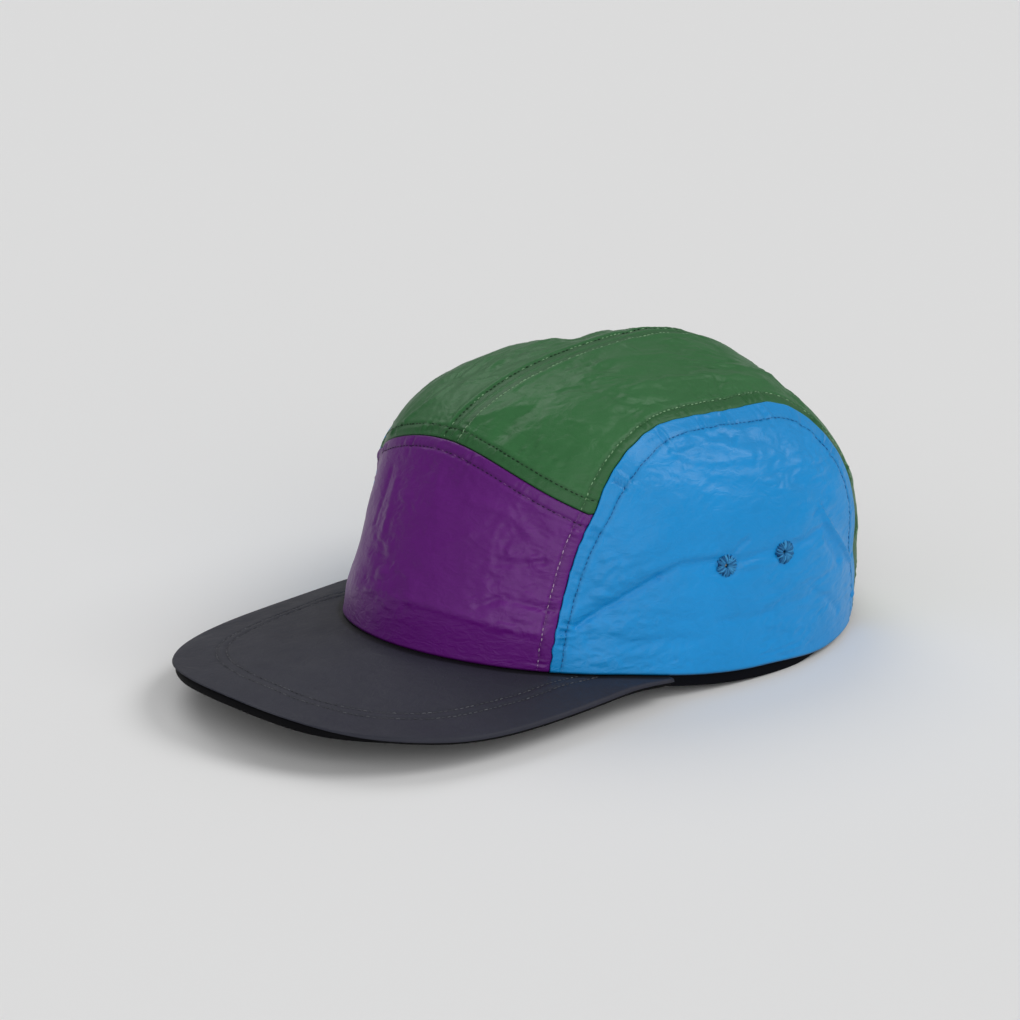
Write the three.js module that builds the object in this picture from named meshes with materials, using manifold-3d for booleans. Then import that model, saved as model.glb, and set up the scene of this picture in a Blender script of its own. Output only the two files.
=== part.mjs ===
// Five panel cap: one front panel, two side panels and two top panels, a curved peak in two layers,
// a sweatband, four sewn eyelets, and a webbing strap with its buckle across the opening at the back.
// Millimetres, +Z up. The front of the cap is towards -Y and the wearer's left is towards +X.
// The sweatband's lower edge stands on z = 0, and the middle of the whole length is at y = 0.
import * as THREE from 'three';
import { mergeVertices } from 'three/addons/utils/BufferGeometryUtils.js';
import Module from 'manifold-3d';

const wasm = await Module();
wasm.setup();

// Crown, measured over the cloth
const crownLength = 200; // front rim to rear rim
const crownWidth = 157.5; // across the rim at its widest
const crownHeight = 99.5; // side rim to the top
const apexSetback = 118.4; // front rim to the top of the crown
const planPower = 1.95; // power of the superellipse that the rim follows from above
const frontRise = 15.5; // how far the rim is higher at the middle of the front than at the sides
const riseLength = 70; // the length over which the rim climbs, forward of the top
const clothWall = 1.2;
const seamGap = 0.3; // clearance between two pieces that are sewn together

// Front panel
const frontPanelWidth = 102;
const frontPanelHeight = 79.1; // side rim to the middle of the top seam
const frontCornerHeight = 62.3; // side rim to the two upper corners

// Opening at the back, under the top panels
const openingWidth = 76;
const openingHeight = 38;
const openingPower = 2.5;

// Sweatband and strap
const bandHeight = 30;
const bandWall = 1.6;
const bandGap = 0.6; // clearance between the sweatband or the strap and the cloth
const bandDrop = 4.5; // how far the sweatband shows below the side rim
const strapHeight = 20;
const strapWall = 1.4;
const strapLift = 3; // strap's lower edge above the sweatband's
const buckleWidth = 20;
const buckleHeight = 25;
const buckleDepth = 2.6;
const buckleBar = 4.4; // width of the buckle's three bars
const buckleOffset = 12; // to the wearer's left of the middle

// Peak
const peakReach = 67.6; // in front of the crown's front rim
const peakWidth = 145.5;
const peakSpread = 54; // degrees from the middle of the front to where each end of the peak meets the rim
const peakSidePower = 2.15; // powers of the superellipse that the peak's edge follows from above
const peakFrontPower = 4.4;
const peakCamber = 10.4; // drop from the peak's middle to its sides
const peakDroop = 1.9; // drop from the front rim to the tip
const peakEase = 16; // the length over which the peak passes from the rim's height to its own curve
const peakTopWall = 1.4;
const peakUnderWall = 1.4;
const peakUnderInset = 1; // the under layer's edge lies this far inside the top layer's

// Eyelets: a sewn ring in a hole of each side panel, two to a side
const eyeletRadius = 3.9;
const eyeletHoleRadius = 1.6;
const eyeletWall = 2.2;
const eyeletHeight = 38.8; // side rim to the eyelets' middles
const eyeletPitch = 24.3; // from the front one to the rear one
const eyeletFront = 91.9; // front rim to the front eyelet

// Facets
const seamCells = 9; // across half the front panel, and so across a top panel
const seamRows = 10; // up the side seam
const archCells = 26; // along the arch seam
const sideRows = 9;
const bandCells = 66;
const bandRows = 4;
const strapCells = 12;
const peakCells = 28;
const peakRows = 6;
const roundSides = 12;
const halvings = 40; // steps that find where a ray meets the crown
const slopeStep = 0.05; // half the length over which the crown's slope is measured
const weldLength = 0.001; // corners nearer than this are one corner

// Meridians of the crown, one every 30 degrees from the front round the side to the back. The lean is the
// share of the rim's radius that is lost at the top, and the others are the powers of its superellipse.
const ribs = [
  { lean: 0.275, roundPower: 2.65, risePower: 6.6 }, // the middle of the front
  { lean: 0.176, roundPower: 2.27, risePower: 6.45 },
  { lean: 0.112, roundPower: 1.45, risePower: 5.6 },
  { lean: 0.01, roundPower: 1.17, risePower: 4.85 }, // the side
  { lean: -0.08, roundPower: 1.15, risePower: 4.2 },
  { lean: -0.08, roundPower: 1.58, risePower: 2.65 },
  { lean: -0.04, roundPower: 1.92, risePower: 2.33 }, // the middle of the back
];

// The arch seam between a side panel and a top panel, seen from the side, behind the front panel's corner.
// Shares of the crown's length, from the front rim, and of its height, from the side rim.
const arch = [
  { along: 0.282, up: 0.714 },
  { along: 0.341, up: 0.789 },
  { along: 0.428, up: 0.837 },
  { along: 0.548, up: 0.845 },
  { along: 0.643, up: 0.832 },
  { along: 0.702, up: 0.807 },
  { along: 0.745, up: 0.759 },
  { along: 0.778, up: 0.678 },
  { along: 0.799, up: 0.578 },
  { along: 0.81, up: 0.437 },
  { along: 0.82, up: 0.236 },
  { along: 0.841, up: 0 },
];

// Soft folds in the cloth: ridges where the height is positive, and creases where it is negative.
// Each route's points are degrees round from the front and shares of the crown's height, and
// spread and height are shares of the crown's height.
const folds = [
  { spread: 0.09, height: 0.013, route: [[-22, 0.11], [2, 0.17], [28, 0.155]] },
  { spread: 0.07, height: -0.007, route: [[-12, 0.6], [4, 0.63], [24, 0.54]] },
  { spread: 0.07, height: -0.013, route: [[34, 0.17], [47, 0.31], [58, 0.4], [66, 0.41]] },
  { spread: 0.06, height: 0.008, route: [[40, 0.38], [52, 0.49]] },
  { spread: 0.06, height: -0.007, route: [[72, 0.38], [88, 0.37]] },
  { spread: 0.07, height: -0.012, route: [[105, 0.5], [113, 0.38], [122, 0.26]] },
  { spread: 0.07, height: 0.008, route: [[68, 0.78], [86, 0.71]] },
  { spread: 0.08, height: -0.007, route: [[48, 0.13], [75, 0.17], [97, 0.19]] },
  { spread: 0.07, height: 0.009, route: [[3, 0.82], [10, 0.9]] },
  { spread: 0.08, height: 0.008, route: [[48, 0.92], [90, 0.91], [132, 0.85]] },
  { spread: 0.08, height: -0.012, route: [[-36, 0.2], [-58, 0.36]] },
  { spread: 0.07, height: -0.01, route: [[-100, 0.52], [-120, 0.3]] },
  { spread: 0.08, height: 0.008, route: [[-52, 0.92], [-115, 0.88]] },
  { spread: 0.08, height: -0.009, route: [[150, 0.62], [178, 0.5], [-155, 0.58]] },
];

const looks = {
  purple: { color: 0x5c276d, roughness: 0.55 },
  blue: { color: 0x2785c5, roughness: 0.5 },
  green: { color: 0x3a6240, roughness: 0.55 },
  charcoal: { color: 0x3e3f43, roughness: 0.65 },
  black: { color: 0x0c0c10, roughness: 0.8 },
};

const FORWARD = new THREE.Vector3(0, -1, 0);
const BACKWARD = new THREE.Vector3(0, 1, 0);
const frontY = peakReach - (crownLength + peakReach) / 2;
const apexY = frontY + apexSetback;
const topZ = bandDrop + crownHeight;
const { lerp, smoothstep, degToRad } = THREE.MathUtils;

// A closed curve through every rib, the right side's the mirror of the left's
const ribTurn = new THREE.CatmullRomCurve3(
  [...ribs, ...ribs.slice(1, -1).reverse()].map(
    (rib) => new THREE.Vector3(rib.lean, rib.roundPower, rib.risePower)),
  true, 'catmullrom', 0.5);

function rimRadius(angle) {
  const half = Math.cos(angle) > 0 ? apexSetback : crownLength - apexSetback;
  const across = Math.abs(Math.sin(angle)) / (crownWidth / 2);
  const along = Math.abs(Math.cos(angle)) / half;
  return (across ** planPower + along ** planPower) ** (-1 / planPower);
}

function camberDrop(x) {
  return peakCamber * (2 * x / peakWidth) ** 2;
}

function rimHeight(x, y) {
  const climb = smoothstep(apexY - y, 0, riseLength);
  return bandDrop + climb * Math.max(0, frontRise - camberDrop(x));
}

function rimPoint(angle) {
  const x = rimRadius(angle) * Math.sin(angle);
  const y = apexY - rimRadius(angle) * Math.cos(angle);
  return new THREE.Vector3(x, y, rimHeight(x, y));
}

// Below zero inside the crown, zero on its outer face, above zero outside.
// Under the rim the face goes straight down.
function crownLevel(point) {
  const angle = Math.atan2(point.x, apexY - point.y);
  const rim = rimPoint(angle);
  const share = Math.max(0, (point.z - rim.z) / (topZ - rim.z));
  const rib = ribTurn.getPoint((angle / (2 * Math.PI) + 1) % 1);
  const radius = Math.hypot(point.x, apexY - point.y) / (rimRadius(angle) * (1 - rib.x * share));
  return radius ** rib.y + share ** rib.z - 1;
}

// Where a ray from inside the crown meets its outer face, by halving
function crownHit(origin, direction) {
  let near = 0;
  let far = crownLength;
  for (let step = 0; step < halvings; step += 1) {
    const middle = (near + far) / 2;
    const inside = crownLevel(origin.clone().addScaledVector(direction, middle)) < 0;
    if (inside) near = middle;
    else far = middle;
  }
  return origin.clone().addScaledVector(direction, near);
}

function crownNormal(point) {
  const slope = ['x', 'y', 'z'].map((axis) => {
    const ahead = point.clone();
    const behind = point.clone();
    ahead[axis] += slopeStep;
    behind[axis] -= slopeStep;
    return crownLevel(ahead) - crownLevel(behind);
  });
  return new THREE.Vector3(...slope).normalize();
}

// A point of the crown given by its angle round from the front and its share of the height
function crownPlace(angle, share) {
  const rim = rimPoint(angle);
  const origin = new THREE.Vector3(0, apexY, lerp(rim.z, topZ, share));
  return crownHit(origin, new THREE.Vector3(Math.sin(angle), -Math.cos(angle), 0));
}

const foldLines = folds.map((fold) => ({
  spread: fold.spread * crownHeight,
  height: fold.height * crownHeight,
  points: fold.route.map(([angle, share]) => crownPlace(degToRad(angle), share)),
}));

function foldHeight(point) {
  let height = 0;
  for (const line of foldLines) {
    let nearest = Infinity;
    for (let i = 1; i < line.points.length; i += 1) {
      const piece = new THREE.Line3(line.points[i - 1], line.points[i]);
      const foot = piece.closestPointToPoint(point, true, new THREE.Vector3());
      nearest = Math.min(nearest, foot.distanceTo(point));
    }
    height += line.height * Math.exp(-((nearest / line.spread) ** 2));
  }
  return height;
}

// The cloth at a point of the smooth crown, a given depth under its outer face
function clothPoint(point, depth) {
  return point.clone().addScaledVector(crownNormal(point), foldHeight(point) - depth);
}

// A closed solid from triangles: points that meet are joined, and it is turned so that its faces point out
function closedGeometry(points, triangles) {
  const places = new Map();
  const merged = [];
  const joined = points.map((point) => {
    const key = point.toArray().map((value) => Math.round(value / weldLength)).join();
    if (!places.has(key)) {
      places.set(key, merged.length);
      merged.push(point);
    }
    return places.get(key);
  });
  const faces = triangles.map((corners) => corners.map((corner) => joined[corner]))
    .filter(([a, b, c]) => a !== b && b !== c && c !== a);
  const volume = faces.reduce((sum, [a, b, c]) =>
    sum + merged[a].dot(new THREE.Vector3().crossVectors(merged[b], merged[c])), 0);
  if (volume < 0) faces.forEach((face) => face.reverse());
  const geometry = new THREE.BufferGeometry().setFromPoints(merged);
  geometry.setIndex(faces.flat());
  geometry.computeVertexNormals();
  return geometry;
}

// A wall on a grid of columns and rows. place(u, v, inner) gives its outer face, or its inner one.
function wallGeometry(columns, rows, place) {
  const points = [];
  const triangles = [];
  const index = (i, j, inner) => (inner * (columns + 1) + i) * (rows + 1) + j;
  const quad = (a, b, c, d) => triangles.push([a, b, c], [a, c, d]);
  for (const inner of [0, 1]) {
    for (let i = 0; i <= columns; i += 1) {
      for (let j = 0; j <= rows; j += 1) points.push(place(i / columns, j / rows, inner));
    }
  }
  for (let i = 0; i < columns; i += 1) {
    for (let j = 0; j < rows; j += 1) {
      quad(index(i, j, 0), index(i + 1, j, 0), index(i + 1, j + 1, 0), index(i, j + 1, 0));
      quad(index(i, j, 1), index(i, j + 1, 1), index(i + 1, j + 1, 1), index(i + 1, j, 1));
    }
    quad(index(i, 0, 0), index(i, 0, 1), index(i + 1, 0, 1), index(i + 1, 0, 0));
    quad(index(i, rows, 0), index(i + 1, rows, 0), index(i + 1, rows, 1), index(i, rows, 1));
  }
  for (let j = 0; j < rows; j += 1) {
    quad(index(0, j, 0), index(0, j + 1, 0), index(0, j + 1, 1), index(0, j, 1));
    quad(index(columns, j, 0), index(columns, j, 1), index(columns, j + 1, 1), index(columns, j + 1, 0));
  }
  return closedGeometry(points, triangles);
}

// Seams

function topSeamHeight(x) {
  const corner = (2 * x / frontPanelWidth) ** 2;
  return bandDrop + lerp(frontPanelHeight, frontCornerHeight, corner);
}

// The front of the crown at a given x and height
function frontPoint(x, z) {
  return crownHit(new THREE.Vector3(x, apexY, z), FORWARD);
}

// The side of the crown at a given y and height, on the left (1) or the right (-1)
function sidePoint(side, y, z) {
  return crownHit(new THREE.Vector3(0, y, z), new THREE.Vector3(side, 0, 0));
}

const cornerX = frontPanelWidth / 2;
const cornerPoint = frontPoint(cornerX, topSeamHeight(cornerX));
const archCurve = new THREE.CatmullRomCurve3([
  new THREE.Vector3(0, cornerPoint.y, cornerPoint.z),
  ...arch.map(({ along, up }) =>
    new THREE.Vector3(0, frontY + along * crownLength, bandDrop + up * crownHeight)),
], false, 'catmullrom', 0.5);

// A point of the arch seam, seen from the side, moved square to the seam: above zero is outwards
function archPoint(share, outset) {
  const along = archCurve.getTangentAt(share);
  const point = archCurve.getPointAt(share);
  point.y += -along.z * outset;
  point.z += along.y * outset;
  return point;
}

// Panels

function frontPanel() {
  const half = cornerX - seamGap / 2;
  return wallGeometry(2 * seamCells, seamRows, (u, v, inner) => {
    const x = lerp(-half, half, u);
    const low = rimHeight(x, frontPoint(x, 0).y);
    const point = frontPoint(x, lerp(low, topSeamHeight(x) - seamGap / 2, v));
    return clothPoint(point, inner * clothWall);
  });
}

// The side panel's edge, seen from the side: up the side seam, then over the arch to the rear rim
function sidePanelEdge() {
  const x = cornerX + seamGap / 2;
  const low = rimHeight(x, frontPoint(x, 0).y);
  const high = topSeamHeight(cornerX);
  const edge = [];
  for (let row = 0; row < seamRows; row += 1) {
    const z = lerp(low, high, row / seamRows);
    edge.push({ y: frontPoint(x, z).y, z });
  }
  for (let cell = 0; cell <= archCells; cell += 1) {
    const { y, z } = archPoint(cell / archCells, -seamGap / 2);
    edge.push({ y, z: Math.max(z, bandDrop) });
  }
  edge[edge.length - 1].z = bandDrop;
  return edge;
}

function sidePanel(side) {
  const edge = sidePanelEdge();
  const columns = edge.length - 1;
  return wallGeometry(columns, sideRows, (u, v, inner) => {
    const high = edge[Math.round(u * columns)];
    const y = lerp(edge[0].y, edge[columns].y, u);
    const low = rimHeight(sidePoint(side, y, 0).x, y);
    const point = sidePoint(side, lerp(y, high.y, v), lerp(low, high.z, v));
    return clothPoint(point, inner * clothWall);
  });
}

function openingEdgeHeight(x) {
  const share = Math.min(1, Math.abs(2 * x / openingWidth));
  return bandDrop + openingHeight * (1 - share ** openingPower);
}

// Half of the top, from the top seam to the opening. Its points lie at angles about the line through
// the crown's middle, level with the side rim, that runs from side to side.
function topPanel(side) {
  const turn = (y, z) => Math.atan2(z - bandDrop, apexY - y);
  const start = seamGap / 2;
  const seam = Array.from({ length: archCells + 1 }, (_, cell) => {
    const { y, z } = archPoint(cell / archCells, seamGap / 2);
    const point = sidePoint(side, y, Math.max(z, bandDrop));
    return { x: Math.abs(point.x), turn: turn(y, point.z) };
  });
  const last = seam[archCells];
  return wallGeometry(archCells, seamCells, (u, v, inner) => {
    const row = seam[Math.round(u * archCells)];
    const frontX = lerp(start, seam[0].x, v);
    const frontZ = topSeamHeight(Math.min(frontX, cornerX)) + seamGap / 2;
    const rearX = lerp(start, last.x, v);
    const rearZ = openingEdgeHeight(rearX);
    const rear = crownHit(new THREE.Vector3(rearX, apexY, rearZ), BACKWARD);
    const share = (row.turn - seam[0].turn) / (last.turn - seam[0].turn);
    const front = v === 1 ? seam[0].turn : turn(frontPoint(frontX, frontZ).y, frontZ);
    const angle = lerp(front, v === 1 ? last.turn : turn(rear.y, rearZ), share);
    const origin = new THREE.Vector3(side * lerp(start, row.x, v), apexY, bandDrop);
    const point = crownHit(origin, new THREE.Vector3(0, -Math.cos(angle), Math.sin(angle)));
    return clothPoint(point, inner * clothWall);
  });
}

// Band and strap, inside the crown

// A band that follows the inside of the crown between two angles, at a height over the hem's lower edge
function bandGeometry(columns, rows, from, to, lift, height, wall) {
  return wallGeometry(columns, rows, (u, v, inner) => {
    const angle = lerp(from, to, u);
    const z = rimPoint(angle).z - bandDrop + lift + v * height;
    const outward = new THREE.Vector3(Math.sin(angle), -Math.cos(angle), 0);
    const point = crownHit(new THREE.Vector3(0, apexY, z), outward);
    const cloth = clothPoint(point, clothWall + bandGap + inner * wall);
    cloth.z = z;
    return cloth;
  });
}

function openingAngle(x) {
  const edge = crownHit(new THREE.Vector3(x, apexY, 0), BACKWARD);
  return Math.atan2(edge.x, apexY - edge.y);
}

function sweatband() {
  const end = openingAngle(openingWidth / 2);
  return bandGeometry(bandCells, bandRows, -end, end, 0, bandHeight, bandWall);
}

function strap() {
  const end = openingAngle(openingWidth / 2 - seamGap);
  return bandGeometry(strapCells, 1, end, 2 * Math.PI - end, strapLift, strapHeight, strapWall);
}

// Peak

// The peak's edge from above, from one end (-1) to the other (1). The power of the turn evens out the steps.
function peakEdge(share) {
  const turn = Math.sign(share) * (Math.PI / 2) * (1 - (1 - Math.abs(share)) ** (peakFrontPower / 2));
  const end = rimPoint(degToRad(peakSpread));
  const length = end.y - (frontY - peakReach);
  const x = peakWidth / 2 * Math.sign(turn) * Math.abs(Math.sin(turn)) ** (2 / peakSidePower);
  const y = end.y - length * Math.cos(turn) ** (2 / peakFrontPower);
  return new THREE.Vector2(x, y);
}

// A layer of the peak, from under the front rim to the edge. Its inner edge meets the sweatband.
function peakLayer(depth, wall, inset) {
  return wallGeometry(peakCells, peakRows, (u, v, inner) => {
    const share = 2 * u - 1;
    const angle = share * degToRad(peakSpread);
    const rim = rimPoint(angle);
    const root = rim.clone().addScaledVector(crownNormal(rim.clone().setZ(0)), -clothWall);
    const edge = peakEdge(share);
    const width = Math.hypot(edge.x - root.x, edge.y - root.y);
    const reach = v * (width - inset) / width;
    const x = lerp(root.x, edge.x, reach);
    const y = lerp(root.y, edge.y, reach);
    const curve = bandDrop + frontRise - camberDrop(x) - peakDroop * (frontY - y) / peakReach;
    const clear = reach * width - clothWall - seamGap;
    const z = lerp(rim.z - seamGap, curve, smoothstep(clear, 0, peakEase));
    return new THREE.Vector3(x, y, z - depth - inner * wall);
  });
}

// Eyelets

function eyeletSeat(side, order) {
  const y = frontY + eyeletFront + order * eyeletPitch;
  const point = sidePoint(side, y, bandDrop + eyeletHeight);
  const normal = crownNormal(point);
  const middle = clothPoint(point, clothWall / 2);
  const turn = new THREE.Quaternion().setFromUnitVectors(new THREE.Vector3(0, 1, 0), normal);
  return new THREE.Matrix4().compose(middle, turn, new THREE.Vector3(1, 1, 1));
}

function eyelet() {
  const half = eyeletWall / 2;
  const width = eyeletRadius - eyeletHoleRadius;
  const profile = [[0, -half], [0.75, -half], [1, -half / 2], [1, half / 2], [0.6, half], [0, half / 2]];
  const points = [...profile, profile[0]].map(([share, y]) =>
    new THREE.Vector2(eyeletHoleRadius + share * width, y));
  return new THREE.LatheGeometry(points, roundSides);
}

function asManifold(geometry) {
  const bare = geometry.clone();
  bare.deleteAttribute('normal');
  bare.deleteAttribute('uv');
  const merged = mergeVertices(bare, weldLength);
  return new wasm.Manifold(new wasm.Mesh({
    numProp: 3,
    vertProperties: new Float32Array(merged.attributes.position.array),
    triVerts: new Uint32Array(merged.index.array),
  }));
}

function asGeometry(manifold) {
  const mesh = manifold.getMesh();
  const geometry = new THREE.BufferGeometry();
  geometry.setAttribute('position', new THREE.BufferAttribute(new Float32Array(mesh.vertProperties), 3));
  geometry.setIndex(new THREE.BufferAttribute(new Uint32Array(mesh.triVerts), 1));
  geometry.computeVertexNormals();
  return geometry;
}

// A side panel with the holes that its eyelets sit in
function piercedSidePanel(side) {
  let panel = asManifold(sidePanel(side));
  for (const order of [0, 1]) {
    const radius = eyeletRadius + seamGap;
    const drill = new THREE.CylinderGeometry(radius, radius, 10 * clothWall, roundSides);
    panel = panel.subtract(asManifold(drill.applyMatrix4(eyeletSeat(side, order))));
  }
  return asGeometry(panel);
}

// Buckle: a flat frame with a bar down its middle, so that the strap can be threaded through its two slots
function buckle() {
  const slotWidth = (buckleWidth - 3 * buckleBar) / 2;
  const slotHeight = buckleHeight - 2 * buckleBar;
  let frame = asManifold(new THREE.BoxGeometry(buckleWidth, buckleHeight, buckleDepth));
  for (const side of [-1, 1]) {
    const slot = new THREE.BoxGeometry(slotWidth, slotHeight, 2 * buckleDepth);
    frame = frame.subtract(asManifold(slot.translate(side * (slotWidth + buckleBar) / 2, 0, 0)));
  }
  return asGeometry(frame);
}

// The buckle lies on the outside of the strap
function buckleSeat() {
  const origin = new THREE.Vector3(buckleOffset, apexY, strapLift + strapHeight / 2);
  const strapFace = clothPoint(crownHit(origin, BACKWARD), clothWall + bandGap);
  const normal = crownNormal(strapFace).setZ(0).normalize();
  const middle = strapFace.addScaledVector(normal, seamGap + buckleDepth / 2);
  const across = new THREE.Vector3(-normal.y, normal.x, 0);
  return new THREE.Matrix4().makeBasis(across, new THREE.Vector3(0, 0, 1), normal).setPosition(middle);
}

// Assembly

const cap = new THREE.Group();

function add(name, geometry, look, seat) {
  const mesh = new THREE.Mesh(geometry, new THREE.MeshStandardMaterial({ ...looks[look], metalness: 0 }));
  mesh.name = name;
  if (seat) mesh.applyMatrix4(seat);
  cap.add(mesh);
}

add('front_panel', frontPanel(), 'purple');
for (const [hand, side] of [['left', 1], ['right', -1]]) {
  add(`side_panel_${hand}`, piercedSidePanel(side), 'blue');
  add(`top_panel_${hand}`, topPanel(side), 'green');
  add(`eyelet_${hand}_front`, eyelet(), 'blue', eyeletSeat(side, 0));
  add(`eyelet_${hand}_rear`, eyelet(), 'blue', eyeletSeat(side, 1));
}
add('peak_top', peakLayer(0, peakTopWall, 0), 'charcoal');
add('peak_underside', peakLayer(peakTopWall + seamGap, peakUnderWall, peakUnderInset), 'black');
add('sweatband', sweatband(), 'black');
add('back_strap', strap(), 'black');
add('strap_buckle', buckle(), 'black', buckleSeat());

export default cap;
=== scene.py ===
# %% [markdown]
# A five panel cap in crinkled nylon. The CAD frame gives each piece its size and place. This lesson
# rebuilds the pieces as fine cloth surfaces around that frame, sews them, and gives them their finish.
# It starts by loading the frame.

# %% Load the frame
import math
from collections import namedtuple

import bmesh
import bpy
import numpy as np
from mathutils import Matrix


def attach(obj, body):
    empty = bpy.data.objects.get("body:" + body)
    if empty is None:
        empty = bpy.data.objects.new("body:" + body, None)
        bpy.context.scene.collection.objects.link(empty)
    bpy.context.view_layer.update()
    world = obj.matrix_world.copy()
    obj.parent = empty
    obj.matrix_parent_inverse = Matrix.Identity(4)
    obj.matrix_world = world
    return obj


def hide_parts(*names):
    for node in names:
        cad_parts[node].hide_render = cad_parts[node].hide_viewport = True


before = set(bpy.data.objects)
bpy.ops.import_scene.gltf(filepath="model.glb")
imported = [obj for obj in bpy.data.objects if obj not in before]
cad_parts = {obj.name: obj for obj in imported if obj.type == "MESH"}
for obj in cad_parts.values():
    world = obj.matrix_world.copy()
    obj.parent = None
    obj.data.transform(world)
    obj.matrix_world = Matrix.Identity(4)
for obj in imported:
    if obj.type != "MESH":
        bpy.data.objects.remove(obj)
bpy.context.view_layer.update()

# %% [markdown]
# The crown is one smooth surface. Above each direction round its top runs a rib, a superellipse that
# rises from the rim and leans in by a share of the rim's radius. Repeating the CAD source's sizes and
# formula here lets every fine piece lie exactly where its CAD node lies.

# %% Sizes of the crown, as in the CAD source
MM = 0.001
CROWN_LENGTH = 200 * MM
CROWN_WIDTH = 157.5 * MM
CROWN_HEIGHT = 99.5 * MM
APEX_SETBACK = 118.4 * MM
PLAN_POWER = 1.95
FRONT_RISE = 15.5 * MM
RISE_LENGTH = 70 * MM
CLOTH_WALL = 1.2 * MM
SEAM_GAP = 0.3 * MM
BAND_DROP = 4.5 * MM
PEAK_REACH = 67.6 * MM
PEAK_WIDTH = 145.5 * MM
PEAK_CAMBER = 10.4 * MM
FRONT_Y = PEAK_REACH - (CROWN_LENGTH + PEAK_REACH) / 2
APEX_Y = FRONT_Y + APEX_SETBACK
TOP_Z = BAND_DROP + CROWN_HEIGHT

# Lean, power round the crown and power up the crown, every 30 degrees from the front to the back
RIBS = np.array([
    (0.275, 2.65, 6.6), (0.176, 2.27, 6.45), (0.112, 1.45, 5.6), (0.01, 1.17, 4.85),
    (-0.08, 1.15, 4.2), (-0.08, 1.58, 2.65), (-0.04, 1.92, 2.33),
])
RIB_LOOP = np.concatenate([RIBS, RIBS[-2:0:-1]])

# %% Small tools of the crown's formula
HALVINGS = 24
SLOPE_STEP = 0.05 * MM


def smooth(value):
    """0 below 0, 1 above 1, and three squares less two cubes between, so that it starts and ends level."""
    value = np.clip(value, 0, 1)
    return value * value * (3 - 2 * value)


def unit(vectors):
    """Each vector divided by its length."""
    return vectors / np.maximum(np.linalg.norm(vectors, axis=-1, keepdims=True), 1e-12)


def catmull_rom(knots, share, closed):
    """A curve through the knots: between two of them a cubic whose slope at each knot is half the
    step from the knot before it to the knot after it."""
    knots = np.asarray(knots, float)
    if closed:
        around = np.concatenate([knots[-1:], knots, knots[:2]])
    else:
        around = np.concatenate([2 * knots[:1] - knots[1:2], knots, 2 * knots[-1:] - knots[-2:-1]])
    spans = len(around) - 3
    place = np.asarray(share, float) * spans
    start = np.clip(np.floor(place).astype(int), 0, spans - 1)
    w = (place - start)[..., None]
    before, here, there, after = (around[start + step] for step in range(4))
    leave, arrive = (there - before) / 2, (after - here) / 2
    bend = 3 * (there - here) - 2 * leave - arrive
    twist = 2 * (here - there) + leave + arrive
    return here + w * (leave + w * (bend + w * twist))


def rim_radius(angle):
    """Plan of the rim: a superellipse about the top, longer towards the front than towards the back."""
    half = np.where(np.cos(angle) > 0, APEX_SETBACK, CROWN_LENGTH - APEX_SETBACK)
    across = np.abs(np.sin(angle)) / (CROWN_WIDTH / 2)
    along = np.abs(np.cos(angle)) / half
    return (across ** PLAN_POWER + along ** PLAN_POWER) ** (-1 / PLAN_POWER)


def camber_drop(x):
    """The peak falls away from its middle with the square of the distance."""
    return PEAK_CAMBER * (2 * x / PEAK_WIDTH) ** 2


def rim_height(x, y):
    """The rim is level from the sides back, and climbs smoothly to the peak's own curve at the front."""
    return BAND_DROP + smooth((APEX_Y - y) / RISE_LENGTH) * np.maximum(0, FRONT_RISE - camber_drop(x))


def rim_point(angle):
    """The rim at an angle round from the front."""
    radius = rim_radius(angle)
    x, y = radius * np.sin(angle), APEX_Y - radius * np.cos(angle)
    return np.stack([x, y, rim_height(x, y)], -1)


def crown_level(point):
    """Below 0 inside the crown and above 0 outside: the share of the radius to one power, plus the
    share of the height to another, less 1."""
    back = APEX_Y - point[..., 1]
    angle = np.arctan2(point[..., 0], back)
    rim = rim_point(angle)
    share = np.maximum(0, (point[..., 2] - rim[..., 2]) / (TOP_Z - rim[..., 2]))
    lean, round_power, rise_power = np.moveaxis(
        catmull_rom(RIB_LOOP, (angle / (2 * np.pi)) % 1, True), -1, 0)
    radius = np.hypot(point[..., 0], back) / (rim_radius(angle) * (1 - lean * share))
    return radius ** round_power + share ** rise_power - 1


def crown_hit(origin, direction):
    """Where rays from inside meet the crown, by halving the stretch that holds the crossing."""
    origin, direction = np.broadcast_arrays(np.asarray(origin, float), np.asarray(direction, float))
    near = np.zeros(origin.shape[:-1])
    far = np.full(origin.shape[:-1], CROWN_LENGTH)
    for _ in range(HALVINGS):
        middle = (near + far) / 2
        inside = crown_level(origin + direction * middle[..., None]) < 0
        near, far = np.where(inside, middle, near), np.where(inside, far, middle)
    return origin + direction * near[..., None]


def crown_normal(point):
    """Direction in which the crown's level rises fastest, from differences along X, Y and Z."""
    steps = np.eye(3) * SLOPE_STEP
    return unit(np.stack([crown_level(point + s) - crown_level(point - s) for s in steps], -1))


def crown_place(angle, share):
    """The crown at an angle round from the front and a share of the height over the rim."""
    rim = rim_point(angle)
    height = rim[..., 2] + share * (TOP_Z - rim[..., 2])
    origin = np.stack([0 * height, APEX_Y + 0 * height, height], -1)
    return crown_hit(origin, np.stack([np.sin(angle), -np.cos(angle), 0 * angle], -1))


top = crown_place(np.radians(np.array([0.0, 90.0, 180.0])), np.array([0.5, 0.5, 0.5]))
print("Crown half way up, front, side and back, in mm:", np.round(top * 1000, 1).tolist())

# %% [markdown]
# Sewn nylon keeps soft folds where it was pressed or pulled. Each fold is a ridge or a crease along a
# short route on the crown, and its height falls off like a bell curve with the distance to the route.
# The broad folds are the CAD source's, and the fine ones are added here.

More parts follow.
